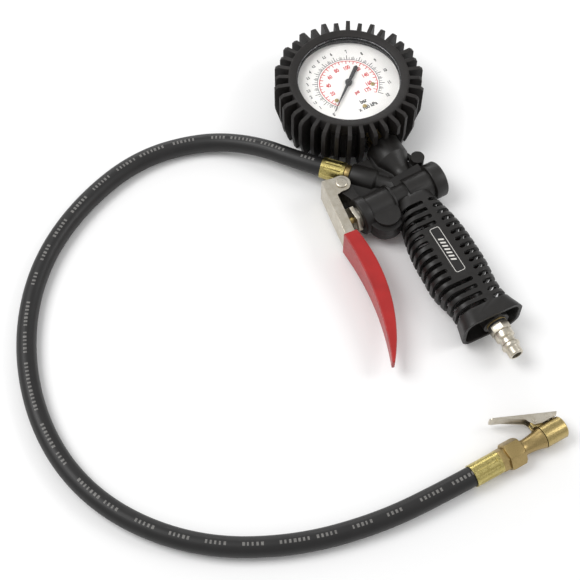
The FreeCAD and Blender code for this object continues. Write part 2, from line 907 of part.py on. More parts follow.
def valve():
    """The spool valve in the barrel: sleeve, gland, spool, spring and rear cap."""
    sleeve = ring("sleeve_blank", "sleeve_bore", "bore_radius", "gland_seat", "rear_end", BARREL)
    inlet_port = pointing(GAUGEWARD * -1, at(S.inlet_shift - 1, 0))
    inlet = rod("sleeve_inlet", "passage_radius", "0", "bore_radius + 1", inlet_port)
    ports = [
        rod("sleeve_gauge", "passage_radius", "0", "bore_radius + 1", GAUGE_PORT),
        rod("sleeve_hose", "passage_radius", "0", "bore_radius + 5", HOSE_PORT),
        inlet,
    ]
    node(cut("sleeve_cut", sleeve, ports), "valve_sleeve")
    nut = hexagon("nut_hex", "nut_across", "nut_front", "nut_back", BARREL)
    spigot = rod("nut_spigot", "gland_radius", "nut_back - 0.5", "gland_seat", BARREL)
    hole = rod("nut_hole", "stem_radius + stem_slip", "nut_front - 1", "gland_seat + 1", BARREL)
    pocket = rod("nut_pocket", "seal_radius", "seal_front", "gland_seat + 1", BARREL)
    node(cut("nut_cut", fused("nut_blank", [nut, spigot]), [hole, pocket]), "gland_nut")
    seal = ring("seal", "stem_radius + stem_slip", "seal_radius", "seal_front", "gland_seat", BARREL)
    node(seal, "gland_seal")
    spool = turned(
        "spool_turned",
        [
            ("0", "spool_tip"),
            ("1.5", "spool_tip + 0.5"),
            ("2.3", "spool_tip + 1.5"),
            ("stem_radius", "spool_tip + 2.5"),
            ("stem_radius", "front_land_start"),
            ("land_radius", "front_land_start"),
            ("land_radius", "front_land_start + 1.8"),
            ("land_radius - 2 * ring_wire", "front_land_start + 1.8"),
            ("land_radius - 2 * ring_wire", "front_land_start + 1.8 + 2.2 * ring_wire"),
            ("land_radius", "front_land_start + 1.8 + 2.2 * ring_wire"),
            ("land_radius", "front_land_end"),
            ("neck_radius", "front_land_end"),
            ("neck_radius", "rear_land_start"),
            ("land_radius", "rear_land_start"),
            ("land_radius", "rear_land_start + 1.3"),
            ("land_radius - 2 * ring_wire", "rear_land_start + 1.3"),
            ("land_radius - 2 * ring_wire", "rear_land_start + 1.3 + 2.2 * ring_wire"),
            ("land_radius", "rear_land_start + 1.3 + 2.2 * ring_wire"),
            ("land_radius", "rear_land_end"),
            ("0", "rear_land_end"),
        ],
        BARREL,
    )
    node(spool, "push_spool")
    middle = "land_radius - ring_wire"
    heights = (
        S.front_land_start + 1.8 + 1.1 * S.ring_wire,
        S.rear_land_start + 1.3 + 1.1 * S.ring_wire,
    )
    rings = []
    for row, high in enumerate(heights):
        rings.append(o_ring(f"spool_ring_{row}", middle, "ring_wire", high, BARREL))
    node(grouped("spool_rings", rings), "spool_o_rings")
    ends = (S.rear_land_end + 0.1, S.cap_floor - 0.1)
    spring = coil(S.spring_radius, S.spring_wire, *ends, S.spring_turns)
    node(shaped("return_coil", spring, BARREL), "return_spring")
    cap = turned(
        "cap_turned",
        [
            ("cap_bore", "rear_end"),
            ("bore_radius", "rear_end"),
            ("bore_radius", "cap_spigot_front + 1.7"),
            ("cap_spigot_radius", "cap_spigot_front + 1.7"),
            ("cap_spigot_radius", "rear_end"),
            ("cap_radius - 0.4", "rear_end"),
            ("cap_radius", "rear_end + 0.4"),
            ("cap_radius", "cap_end - 1.2"),
            ("cap_radius - 1.2", "cap_end"),
            ("0", "cap_end"),
            ("0", "cap_floor"),
            ("cap_bore", "cap_floor"),
        ],
        BARREL,
    )
    node(cap, "rear_cap")
    ring_height = S.cap_spigot_front + 0.85
    seal_ring = o_ring("cap_ring", "(cap_spigot_radius + bore_radius) / 2", "0.8", ring_height, BARREL)
    node(seal_ring, "rear_cap_o_ring")


# ---------------------------------------------------------------- trigger lever
def spot(prefix, name):
    """A named point of a side view, as a vector in that view."""
    return Vector(getattr(S, f"{prefix}_{name}_a"), getattr(S, f"{prefix}_{name}_b"), 0)


def line(start, end):
    return Part.LineSegment(start, end).toShape()


def arc(start, middle, end):
    return Part.Arc(start, middle, end).toShape()


def pressed(edges, half):
    """A solid from a side view's edges, to half its width each side of the mid-plane."""
    face = Part.Face(Part.Wire(edges))
    face.translate(UP * -half)
    return face.extrude(UP * (2 * half))


def taper(skin):
    """The lever's plan: full width above, narrowing towards the tip; skin is added all round."""
    wide, narrow = S.lever_half + skin, S.lever_tip_half + skin
    top, bottom = S.lever_taper_start, S.lever_taper_end
    corners = [(60, wide), (top, wide), (bottom, narrow), (bottom, -narrow), (top, -wide), (60, -wide)]
    points = [Vector(-100, high, side) for high, side in corners]
    face = Part.Face(Part.makePolygon(points + points[:1]))
    return face.extrude(AHEAD * 100)


def blade_edges():
    """The pressed channel's side view, from its heel round the pivot and down to its end."""
    p = {name: spot("lever", name) for name in LEVER}
    pivot = Vector(S.pivot_x, S.pivot_y, 0)
    around = [math.radians(angle) for angle in (100, 0, -110)]
    top, side, low = (pivot + Vector(math.cos(a), math.sin(a), 0) * S.lever_round for a in around)
    return [
        line(p["heel"], top),
        arc(top, side, low),
        line(low, p["elbow"]),
        line(p["elbow"], p["rear_mouth"]),
        arc(p["rear_mouth"], p["rear_bow"], p["rear_end"]),
        line(p["rear_end"], p["front_end"]),
        arc(p["front_end"], p["front_bow"], p["front_mouth"]),
        line(p["front_mouth"], p["heel"]),
    ]


def lever():
    """A pressed-steel channel with a red slip-on grip, on a riveted pin."""
    blade = pressed(blade_edges(), S.lever_half).common(taper(0))
    hollow = pressed(blade_edges(), S.lever_half).common(taper(-S.lever_sheet))
    hollow.translate(AHEAD * S.lever_sheet)
    inside = S.lever_half - S.lever_sheet
    around_pin = Part.makeBox(18, 30, 2 * inside, Vector(-51, 11, -inside))
    pivot = Vector(S.pivot_x, S.pivot_y, -20)
    hole = Part.makeCylinder(S.pin_radius + S.pin_slip, 40, pivot)
    channel = blade.cut(hollow).cut(around_pin).cut(hole)
    node(shaped("lever_pressing", channel, level(at(0, 0))), "lever_channel")

    p = {name: spot("lever", name) for name in LEVER}
    skin = [
        line(p["grip_front"], p["grip_rear"]),
        arc(p["grip_rear"], p["grip_rear_bow"], p["grip_rear_tip"]),
        line(p["grip_rear_tip"], p["grip_front_tip"]),
        arc(p["grip_front_tip"], p["grip_front_bow"], p["grip_front"]),
    ]
    outside = pressed(skin, S.lever_half + S.sleeve_skin).common(taper(S.sleeve_skin))
    node(shaped("lever_grip", outside.cut(blade), level(at(0, 0))), "lever_sleeve")

    head = "lever_half + 0.1"
    pin = turned(
        "pin_turned",
        [
            ("0", f"-({head} + pin_head)"),
            ("pin_head_radius - 0.6", f"-({head} + pin_head)"),
            ("pin_head_radius", f"-({head} + pin_head - 0.5)"),
            ("pin_head_radius", f"-({head})"),
            ("pin_radius", f"-({head})"),
            ("pin_radius", head),
            ("pin_head_radius", head),
            ("pin_head_radius", f"{head} + pin_head - 0.5"),
            ("pin_head_radius - 0.6", f"{head} + pin_head"),
            ("0", f"{head} + pin_head"),
        ],
        LEVER_PIN,
    )
    node(pin, "lever_pivot_pin")


# ---------------------------------------------------------------- gauge case and boot
def boot_fin(body, label, reach, turn):
    """One fin of the boot, standing on the wall and chamfered up to the ring."""
    offset = FreeCAD.Placement(Vector(0, 0, 0), FreeCAD.Rotation(Vector(0, 1, 0), turn))
    sketch = sketch_on(body, "XZ_Plane", label + "_outline", offset)
    corners = [
        ("fin_root", "0"),
        ("fin_low_radius", "0"),
        (reach, "fin_tip_height * 0.45"),
        (reach, "fin_tip_height"),
        (reach + " - fin_chamfer", "fin_shoulder"),
        ("boot_ring_radius - 0.8", "fin_shoulder"),
        ("boot_ring_radius - 0.8", "bezel_bottom"),
        ("fin_root", "bezel_bottom - 2"),
    ]
    draw_outline(sketch, corners)
    pad = body.newObject("PartDesign::Pad", label)
    pad.Profile = sketch
    pad.Midplane = True
    bind(pad, "Length", "fin_thick")
    return pad


def gauge_boot():
    """The rubber boot: wall, ring and lip in one turn, with fins repeated round it."""
    body = turned(
        "boot_turned",
        [
            ("boot_back_radius", "0"),
            ("boot_wall_radius - 1", "0"),
            ("boot_wall_radius", "1"),
            ("boot_wall_radius", "boot_ring_bottom - 4"),
            ("boot_ring_radius", "boot_ring_bottom"),
            ("boot_ring_radius", "boot_depth - 0.8"),
            ("boot_ring_radius - 0.8", "boot_depth"),
            ("boot_lip_radius", "boot_depth - boot_lip_drop"),
            ("boot_lip_radius", "bezel_top"),
            ("bezel_radius", "bezel_top"),
            ("bezel_radius", "bezel_bottom"),
            ("case_radius", "bezel_bottom"),
            ("case_radius", "boot_back"),
            ("boot_back_radius", "boot_back"),
        ],
        GAUGE,
    )
    step = 360 / S.fin_count
    fins = [
        boot_fin(body, "fin_tall", "fin_long", 0),
        boot_fin(body, "fin_low", "fin_short", step / 2),
    ]
    doc.recompute()
    pattern = body.newObject("PartDesign::PolarPattern", "fins_around")
    pattern.Originals = fins
    pattern.Axis = (body.getObject("boot_turned_outline"), ["V_Axis"])
    pattern.Angle = 360
    bind(pattern, "Occurrences", "fin_count")
    body.Tip = pattern
    window = doc.addObject("Part::Box", "stem_window")
    bind(window, "Length", "2 * window_half")
    bind(window, "Width", "window_deep")
    bind(window, "Height", "boot_ring_bottom - 2")
    window.Placement = level(at(S.gauge_x - S.window_half, S.gauge_y - S.case_radius - 20, -1))
    node(cut("boot_cut", body, [window]), "gauge_boot")


def gauge_case():
    """Pressed case with its back, bezel, lens and gasket; a rubber blow-out plug in the back."""
    case = turned(
        "case_turned",
        [
            ("0", "boot_back"),
            ("case_radius", "boot_back"),
            ("case_radius", "case_top"),
            ("case_radius - case_wall", "case_top"),
            ("case_radius - case_wall", "boot_back + case_wall"),
            ("0", "boot_back + case_wall"),
        ],
        GAUGE,
    )
    stem = pointing(GAUGEWARD * -1, at(S.gauge_x, S.gauge_y))
    stem_hole = rod("case_stem_hole", "stem_thread + 1", "20", "case_radius + 2", stem)
    plug_place = pointing(UP, at(S.gauge_x, S.gauge_y + S.relief_up, 0))
    plug_hole = rod("case_plug_hole", "relief_radius", "0", "boot_back + 3", plug_place)
    node(cut("case_cut", case, [stem_hole, plug_hole]), "gauge_case")
    plug = turned(
        "plug_rubber",
        [
            ("0", "boot_back - 1"),
            ("relief_flange", "boot_back - 1"),
            ("relief_flange", "boot_back"),
            ("relief_radius", "boot_back"),
            ("relief_radius", "boot_back + case_wall"),
            ("relief_flange - 0.2", "boot_back + case_wall"),
            ("relief_radius + 0.2", "boot_back + case_wall + 1.2"),
            ("0", "boot_back + case_wall + 1.2"),
        ],
        plug_place,
    )
    node(plug, "blow_out_plug")
    bezel = turned(
        "bezel_turned",
        [
            ("case_radius", "bezel_bottom"),
            ("bezel_radius", "bezel_bottom"),
            ("bezel_radius", "bezel_top"),
            ("boot_lip_radius - 0.6", "bezel_top"),
            ("boot_lip_radius - 0.6", "lens_top"),
            ("lens_radius", "lens_top"),
            ("lens_radius", "case_top"),
            ("case_radius", "case_top"),
        ],
        GAUGE,
    )
    node(bezel, "bezel_ring")
    node(rod("lens_turned", "lens_radius", "lens_bottom", "lens_top", GAUGE), "gauge_lens")
    gasket = ring("gasket", "boot_lip_radius - 0.8", "case_radius", "case_top", "lens_bottom", GAUGE)
    node(gasket, "lens_gasket")


def gauge_dial():
    """Dial plate on three screws."""
    dial_top = "dial_bottom + dial_thick"
    plates_top = "plate_bottom + 2 * plate_thick + plate_gap"
    dial = ring("dial_turned", "dial_hole", "dial_radius", "dial_bottom", dial_top, GAUGE)
    holes = []
    screws = []
    for row, (across, near) in enumerate(screw_places()):
        place = pointing(UP, at(S.gauge_x + across, S.gauge_y + near, 0))
        holes.append(rod(f"dial_hole_{row}", "screw_radius / 2", "dial_bottom - 1", "dial_bottom + 2", place))
        screw = turned(
            f"screw_{row}",
            [
                ("0", plates_top),
                ("screw_radius", plates_top),
                ("screw_radius", "dial_bottom"),
                ("screw_radius / 2", "dial_bottom"),
                ("screw_radius / 2", dial_top),
                ("screw_radius", dial_top),
                ("screw_radius", dial_top + " + 0.4"),
                ("screw_radius - 0.5", dial_top + " + 0.8"),
                ("0", dial_top + " + 0.8"),
            ],
            place,
        )
        screws.append(screw)
    node(cut("dial_cut", dial, holes), "dial_plate")
    node(grouped("dial_screw_group", screws), "dial_screws")


def screw_places():
    """Where the three dial screws stand, from the gauge's axis."""
    reach = 17.6
    slant = math.radians(30)
    side = reach * math.cos(slant)
    return ((-side, -reach * math.sin(slant)), (side, -reach * math.sin(slant)), (0, -23))


def gauge_socket():
    """Brass socket: threaded stem, hexagon, and the block inside the case."""
    stem = pointing(GAUGEWARD * -1, at(S.gauge_x, S.gauge_y))
    thread = ring("socket_thread", "0", "stem_thread", "case_radius - 2.5", "stem_end", stem)
    hexes = hexagon("socket_hex", "socket_across", "case_radius", "stem_hex_end", stem)
    block = doc.addObject("Part::Box", "socket_block")
    bind(block, "Length", "2 * block_half")
    bind(block, "Width", "case_radius - case_wall - 1 - block_near")
    bind(block, "Height", "block_top - block_bottom")
    far = S.case_radius - S.case_wall - 1
    block.Placement = level(at(S.gauge_x - S.block_half, S.gauge_y - far, S.block_bottom))
    hollow = rod("socket_bore", "stem_bore", "block_near + 4", "stem_end + 1", stem)
    flow = fused("socket_blank", [thread, hexes, block])
    node(cut("socket_cut", flow, [hollow]), "gauge_socket")


# ---------------------------------------------------------------- gauge movement
def gauge_point(across, near, high):
    return at(S.gauge_x + across, S.gauge_y + near, high)


def bourdon():
    """Flattened C-shaped tube from the socket block round to its free tip."""
    start = -90 - math.degrees(math.asin((S.block_half + 1.6) / S.tube_turn_radius))
    angles = [math.radians(start - S.tube_sweep * part / 2) for part in (0, 1, 2)]
    ends = [Vector(math.cos(a), math.sin(a), 0) * S.tube_turn_radius for a in angles]
    path = Part.Wire([Part.Arc(*ends).toShape()])
    outward = ends[0].normalize()
    corners = [(-1, -1), (1, -1), (1, 1), (-1, 1)]
    points = [
        outward * (S.tube_turn_radius + side * S.tube_half) + UP * (rise * S.tube_rise)
        for side, rise in corners
    ]
    section = Part.makePolygon(points + points[:1])
    tube = path.makePipeShell([section], True, True)
    tube.translate(UP * S.tube_middle)
    node(shaped("bourdon_sweep", tube, level(gauge_point(0, 0, 0))), "bourdon_tube")
    return angles[2]


def bourdon_tip(angle):
    """The tip piece at the tube's free end, with the pin for the link."""
    heading = Vector(math.sin(angle), -math.cos(angle), 0)
    outward = Vector(math.cos(angle), math.sin(angle), 0)
    place = FreeCAD.Placement(
        gauge_point(0, 0, 0) + outward * S.tube_turn_radius,
        FreeCAD.Rotation(heading, UP.cross(heading), UP, "ZXY"),
    )
    block = doc.addObject("Part::Box", "tip_block")
    block.Length = 5
    bind(block, "Width", "2 * tube_half + 1")
    bind(block, "Height", "gear_height - 1.5 - tube_middle + tube_rise")
    corner = Vector(0, -S.tube_half - 0.5, S.tube_middle - S.tube_rise)
    block.Placement = place.multiply(FreeCAD.Placement(corner, FreeCAD.Rotation()))
    post_place = place.multiply(FreeCAD.Placement(Vector(2.5, 0, 0), FreeCAD.Rotation()))
    post = rod("tip_post", "arbor_radius", "gear_height - 1.6", "gear_height + 1.6", post_place)
    node(fused("tip_fused", [block, post]), "bourdon_tip")
    return post_place.Base - gauge_point(0, 0, 0)


def sector_place():
    """The sector's pivot, below the gauge's axis by the two gears' pitch radii."""
    reach = S.gear_module * (S.pinion_teeth + S.sector_teeth) / 2
    return Vector(0, -reach, 0)


def gear_outline(teeth, first, last, root, tip, offset):
    """Points of thin trapezium teeth from tooth first to tooth last, counted round from +X."""
    pitch = 2 * math.pi / teeth
    points = []
    for tooth in range(first, last + 1):
        middle = offset + tooth * pitch
        for radius, share in ((root, -0.26), (tip, -0.1), (tip, 0.1), (root, 0.26)):
            angle = middle + share * pitch
            points.append(Vector(radius * math.cos(angle), radius * math.sin(angle), 0))
    return points


def extruded(points, bottom, height):
    face = Part.Face(Part.makePolygon(points + points[:1]))
    face.translate(UP * bottom)
    return face.extrude(UP * height)


def movement():
    """Two brass plates on pillars, the sector, the link, the pinion arbor and the hairspring."""
    sector = sector_place()
    top = S.plate_bottom + S.plate_thick + S.plate_gap
    plates = []
    slip = S.arbor_radius + S.arbor_slip
    wide, deep = 2 * S.plate_half_wide, S.plate_above + S.plate_below
    for low in (S.plate_bottom, top):
        sheet_box = Part.makeBox(wide, deep, S.plate_thick, Vector(-wide / 2, -S.plate_below, low))
        for arbor_at in (Vector(0, 0, low - 1), sector + UP * (low - 1)):
            sheet_box = sheet_box.cut(Part.makeCylinder(slip, S.plate_thick + 2, arbor_at))
        plates.append(sheet_box)
    for across, near in (
        (-S.pillar_side, S.pillar_above),
        (S.pillar_side, S.pillar_above),
        (-S.pillar_side, -S.pillar_below),
    ):
        foot = Vector(across, near, S.plate_bottom + S.plate_thick)
        plates.append(Part.makeCylinder(S.pillar_radius, S.plate_gap, foot))
    frame = plates[0].multiFuse(plates[1:])
    node(shaped("movement_frame", frame, level(gauge_point(0, 0, 0))), "movement_plates")

    pitch_radius = S.gear_module * S.sector_teeth / 2
    pitch = 360 / S.sector_teeth
    swing = S.dial_sweep / (S.sector_teeth / S.pinion_teeth)
    teeth_after = 2
    teeth_before = math.ceil(swing / pitch) + 2
    rim = gear_outline(
        int(S.sector_teeth),
        -teeth_before,
        teeth_after,
        pitch_radius - 1.1 * S.gear_module,
        pitch_radius + 0.8 * S.gear_module,
        math.pi / 2,
    )
    hub = [Vector(2.2, -1.4, 0), Vector(-2.2, -1.4, 0)]
    wheel = extruded(hub[:1] + rim + hub[1:], S.gear_height, S.gear_thick)
    tail_end = Vector(-1.5, -S.tail_reach - 1.4, S.gear_height)
    tail = Part.makeBox(3, S.tail_reach + 1.4, S.gear_thick, tail_end)
    arbor_length = S.plate_gap + 2 * S.plate_thick - 0.4
    arbor = Part.makeCylinder(S.arbor_radius, arbor_length, UP * (S.plate_bottom + 0.2))
    link_pin = Part.makeCylinder(S.arbor_radius, 2 * S.gear_thick, Vector(0, -S.tail_reach, S.gear_height))
    gear = wheel.multiFuse([tail, arbor, link_pin])
    node(shaped("sector_cut", gear, level(gauge_point(0, 0, 0) + sector)), "sector_gear")
    return sector


def link_rod(sector, tip_post):
    """The link from the sector's tail to the slotted hole over the Bourdon tip's post."""
    start = sector + Vector(0, -S.tail_reach, 0)
    run = Vector(tip_post.x, tip_post.y, 0) - start
    length = run.Length
    low = S.gear_height + S.gear_thick + 0.3
    half = S.link_width / 2
    bar = Part.makeBox(length + 2 * half, 2 * half, S.link_thick, Vector(-half, -half, low))
    eye = Part.makeCylinder(S.arbor_radius + S.arbor_slip, 3, UP * (low - 1))
    loose = S.arbor_radius + S.link_play
    gap_start = Vector(length + loose - S.link_slot, -loose, low - 1)
    gap = Part.makeBox(S.link_slot, 2 * loose, 3, gap_start)
    run.normalize()
    turn = FreeCAD.Rotation(run, UP.cross(run), UP, "ZXY")
    place = FreeCAD.Placement(gauge_point(0, 0, 0) + start, turn)
    node(shaped("link_cut", bar.cut(eye).cut(gap), place), "link_rod")


def pinion_and_pointer():
    """The pinion cut on the pointer's arbor, the hairspring and the pointer."""
    pitch_radius = S.gear_module * S.pinion_teeth / 2
    teeth = gear_outline(
        int(S.pinion_teeth),
        0,
        int(S.pinion_teeth) - 1,
        pitch_radius - 1.1 * S.gear_module,
        pitch_radius + 0.8 * S.gear_module,
        -math.pi / 2 + math.pi / S.pinion_teeth,
    )
    pinion = extruded(teeth, S.gear_height - 0.4, S.gear_thick + 0.8)
    shaft_length = S.pointer_height - S.plate_bottom - 0.2
    shaft = Part.makeCylinder(S.arbor_radius, shaft_length, UP * (S.plate_bottom + 0.2))
    node(shaped("pinion_cut", pinion.fuse(shaft), level(gauge_point(0, 0, 0))), "pinion_arbor")

    half = S.pointer_width / 2
    outline = [
        Vector(S.pointer_reach, 0, 0),
        Vector(9, half * 0.55, 0),
        Vector(-S.pointer_tail + half, half, 0),
        Vector(-S.pointer_tail, 0, 0),
        Vector(-S.pointer_tail + half, -half, 0),
        Vector(9, -half * 0.55, 0),
    ]
    hand = extruded(outline, S.pointer_height, S.pointer_thick)
    hub = Part.makeCylinder(S.hub_radius, S.pointer_thick + 0.9, UP * S.pointer_height)
    aim = FreeCAD.Placement(gauge_point(0, 0, 0), FreeCAD.Rotation(UP, -90 - S.dial_zero))
    node(shaped("pointer_cut", hand.fuse(hub), aim), "pointer")

    low = S.gear_height + S.gear_thick + 1.4
    steps = 12
    inner, outer = [], []
    for step in range(steps * 3 + 1):
        angle = 2 * math.pi * step / steps
        radius = S.coil_start + S.coil_growth * step / steps
        along = Vector(math.cos(angle), math.sin(angle), 0)
        inner.append(along * radius)
        outer.append(along * (radius + S.coil_thick))
    spiral = extruded(inner + outer[::-1], low, S.coil_high)
    node(shaped("hairspring_cut", spiral, level(gauge_point(0, 0, 0))), "hairspring")


# ---------------------------------------------------------------- hose, ferrules, tyre connector
def flutes(label, radius, start, end, place):
    """Longitudinal crimp grooves round a ferrule."""
    tools = []
    for row in range(10):
        around = 36 * row
        turn = FreeCAD.Placement(Vector(0, 0, 0), FreeCAD.Rotation(UP, around))
        groove = doc.addObject("Part::Cylinder", f"{label}_{row}")
        bind(groove, "Radius", "flute_radius")
        groove.Height = end - start
        shift = level(Vector(radius + S.flute_bite, 0, start))
        groove.Placement = place.multiply(turn).multiply(shift)
        tools.append(groove)
    return tools


def hose_ends():
    """A hose tail and a crimped ferrule at each end of the hose."""
    tail = turned(
        "gun_tail",
        [
            ("tail_bore", "hose_cup_top - 11"),
            ("hose_bush_radius - 1.5", "hose_cup_top - 11"),
            ("hose_bush_radius - 1.5", "hose_cup_top"),
            ("collar_radius - 0.5", "hose_cup_top"),
            ("collar_radius", "hose_cup_top + 0.5"),
            ("collar_radius", "ferrule_start - 0.5"),
            ("collar_radius - 0.5", "ferrule_start"),
            ("hose_bore", "ferrule_start"),
            ("hose_bore", "ferrule_end + 2"),
            ("tail_bore", "ferrule_end + 2"),
        ],
        HOSE_PORT,
    )
    node(tail, "gun_end_hose_tail")
    blank = ring("gun_ferrule", "hose_radius", "ferrule_radius", "ferrule_start", "ferrule_end", HOSE_PORT)
    span = (S.ferrule_start + S.flute_inset, S.ferrule_end - S.flute_inset)
    grooves = flutes("gun_flute", S.ferrule_radius, *span, HOSE_PORT)
    node(cut("gun_ferrule_cut", blank, grooves), "gun_end_ferrule")

    stem = turned(
        "tyre_tail_stem",
        [
            ("tail_bore", "chuck_ferrule - 18"),
            ("hose_bore", "chuck_ferrule - 18"),
            ("hose_bore", "chuck_ferrule"),
            ("5", "chuck_ferrule"),
            ("5", "chuck_hex_small_end + 7"),
            ("tail_bore", "chuck_hex_small_end + 7"),
        ],
        CHUCK,
    )
    small_hex = ("chuck_hex_small", "chuck_ferrule", "chuck_hex_small_end")
    hexes = hexagon("tyre_tail_hex", *small_hex, CHUCK)
    hollow = rod("tyre_tail_bore", "tail_bore", "0", "chuck_hex_end", CHUCK)
    node(cut("tyre_tail_cut", fused("tyre_tail", [stem, hexes]), [hollow]), "tyre_end_hose_tail")
    blank = ring("tyre_ferrule", "hose_radius", "chuck_ferrule_radius", "0", "chuck_ferrule", CHUCK)
    span = (S.flute_inset, S.chuck_ferrule - S.flute_inset)
    grooves = flutes("tyre_flute", S.chuck_ferrule_radius, *span, CHUCK)
    node(cut("tyre_ferrule_cut", blank, grooves), "tyre_end_ferrule")


def hose_path():
    """Straight runs joined by the largest tangent arcs that two runs allow."""
    exits = (S.ferrule_start, S.ferrule_start + S.hose_straight)
    points = [HOSE_PORT.multVec(UP * reach) for reach in exits] + [at(*point) for point in HOSE]
    edges = []
    start = points[0]
    radii = []
    for before, corner, after in zip(points, points[1:], points[2:]):
        come = (corner - before).normalize()
        leave = (after - corner).normalize()
        turn = come.getAngle(leave)
        cut_back = 0.45 * min((corner - before).Length, (after - corner).Length)
        radius = cut_back / math.tan(turn / 2)
        radii.append(round(radius, 1))
        enter = corner - come * cut_back
        leave_at = corner + leave * cut_back
        inward = (leave - come).normalize()
        middle = corner + inward * (radius / math.cos(turn / 2) - radius)
        edges.append(Part.LineSegment(start, enter).toShape())
        edges.append(Part.Arc(enter, middle, leave_at).toShape())
        start = leave_at
    edges.append(Part.LineSegment(start, points[-1]).toShape())
    print("hose arc radii, mm:", radii)
    return Part.Wire(edges)


def hose():
    path = hose_path()
    first = path.Edges[0]
    heading = first.tangentAt(first.FirstParameter)
    rim = Part.makeCircle(S.hose_radius, first.Vertexes[0].Point, heading)
    tube = path.makePipeShell([Part.Wire([rim])], True, False)
    core = Part.makeCircle(S.hose_bore, first.Vertexes[0].Point, heading)
    bore = path.makePipeShell([Part.Wire([core])], True, False)
    expected = math.pi * (S.hose_radius**2 - S.hose_bore**2) * path.Length
    wall = tube.cut(bore)
    print("hose length", round(path.Length, 1), "volume ratio", round(wall.Volume / expected, 4))
    node(shaped("hose_sweep", wall), "hose")


def connector():
    """Clip-on tyre connector: hexagon body, head, seal, opener pin and clip."""
    hexes = hexagon("chuck_hexes", "chuck_hex", "chuck_hex_small_end", "chuck_hex_end", CHUCK)
    chamfer = turned(
        "chuck_chamfer",
        [
            ("0", "chuck_hex_small_end"),
            ("8.7", "chuck_hex_small_end"),
            ("10", "chuck_hex_small_end + 1.2"),
            ("10", "chuck_hex_end - 1.2"),
            ("8.7", "chuck_hex_end"),
            ("0", "chuck_hex_end"),
        ],
        CHUCK,
    )
    trimmed = doc.addObject("Part::Common", "chuck_hex_trimmed")
    trimmed.Base = hexes
    trimmed.Tool = chamfer
    neck = turned(
        "chuck_neck",
        [
            ("0", "chuck_hex_end - 1"),
            ("chuck_neck_radius + 1.6", "chuck_hex_end - 1"),
            ("chuck_neck_radius + 1.6", "chuck_hex_end"),
            ("chuck_neck_radius + 0.4", "chuck_hex_end + 1.4"),
            ("chuck_neck_radius", "chuck_hex_end + 3.5"),
            ("chuck_neck_radius + 0.3", "chuck_hex_end + 8"),
            ("chuck_neck_radius + 1", "chuck_hex_end + 12.5"),
            ("chuck_flare_radius", "chuck_flare_end - 0.8"),
            ("chuck_flare_radius", "chuck_flare_end"),
            ("chuck_seal_radius", "chuck_flare_end"),
            ("chuck_seal_radius", "chuck_seal_back"),
            ("0", "chuck_seal_back"),
        ],
        CHUCK,
    )
    bores = [
        rod("chuck_thread", "5", "chuck_hex_small_end - 1", "chuck_hex_small_end + 7", CHUCK),
        rod("chuck_bore", "chuck_air", "chuck_hex_small_end", "chuck_seal_back - 6", CHUCK),
        rod("chuck_seat", "3.2", "chuck_seal_back - 6", "chuck_seal_back + 1", CHUCK),
    ]
    node(cut("chuck_body_cut", fused("chuck_blank", [trimmed, neck]), bores), "chuck_body")

    shell = turned(
        "head_shell",
        [
            ("0", "chuck_head_start"),
            ("chuck_head_radius", "chuck_head_start"),
            ("chuck_head_radius", "chuck_end - 1"),
            ("chuck_head_radius - 1", "chuck_end"),
            ("0", "chuck_end"),
        ],
        CHUCK,
    )
    lug = padded(
        "head_lug",
        [
            ("clip_pin_along - 3", "chuck_head_radius - 0.1"),
            ("chuck_head_start", "chuck_head_radius - 0.1"),
            ("chuck_head_start", "chuck_seal_radius + 0.6"),
            ("clip_pin_along + 4", "chuck_seal_radius + 0.6"),
            ("clip_pin_along + 4", "chuck_head_radius + 0.4"),
            ("clip_pin_along + 1.6", "clip_pin_height + 1.8"),
            ("clip_pin_along - 1.6", "clip_pin_height + 1.8"),
            ("clip_pin_along - 3", "clip_pin_height"),
        ],
        "-lug_half",
        "2 * lug_half",
        CLIP_FRAME,
    )
    split = padded(
        "lug_split",
        [
            ("clip_pin_along - 4", "chuck_head_radius + 0.3"),
            ("clip_pin_along + 5", "chuck_head_radius + 0.3"),
            ("clip_pin_along + 5", "clip_pin_height + 3"),
            ("clip_pin_along - 4", "clip_pin_height + 3"),
        ],
        "-lug_inner",
        "2 * lug_inner",
        CLIP_FRAME,
    )
    pin_axis = pin_place()
    bores = [
        rod("head_bore", "chuck_seal_radius", "chuck_head_start - 1", "chuck_seal_front", CHUCK),
        rod("head_mouth", "chuck_mouth_radius", "chuck_seal_front - 1", "chuck_end + 1", CHUCK),
        rod("lug_pin_hole", "clip_pin_radius", "-lug_half - 1", "lug_half + 1", pin_axis),
        split,
        claw_slot(),
    ]
    node(cut("chuck_head_cut", fused("head_blank", [shell, lug]), bores), "chuck_head")
    pin = rod("clip_pin_turned", "clip_pin_radius", "-clip_half - 0.4", "clip_half + 0.4", pin_axis)
    node(pin, "clip_pin")
    seal_ends = ("chuck_seal_back", "chuck_seal_front")
    node(ring("chuck_seal_turned", "chuck_air", "chuck_seal_radius", *seal_ends, CHUCK), "chuck_seal")
    opener = turned(
        "opener",
        [
            ("0", "chuck_seal_back - 6"),
            ("3.2", "chuck_seal_back - 6"),
            ("3.2", "chuck_seal_back - 4.5"),
            ("1", "chuck_seal_back - 4.5"),
            ("1", "chuck_seal_front - 0.1"),
            ("0", "chuck_seal_front - 0.1"),
        ],
        CHUCK,
    )
    slots = []
    for side in (-1, 1):
        place = CHUCK.multiply(level(Vector(side * 2.1, 0, 0)))
        name = f"opener_slot_{side + 1}"
        slots.append(rod(name, "0.8", "chuck_seal_back - 7", "chuck_seal_back - 4", place))
    node(cut("opener_cut", opener, slots), "valve_depressor")


def pin_place():
    """The clip pin's axis."""
    base = CLIP_FRAME.multVec(Vector(S.clip_pin_along, S.clip_pin_height, 0))
    return FreeCAD.Placement(base, CLIP_FRAME.Rotation)


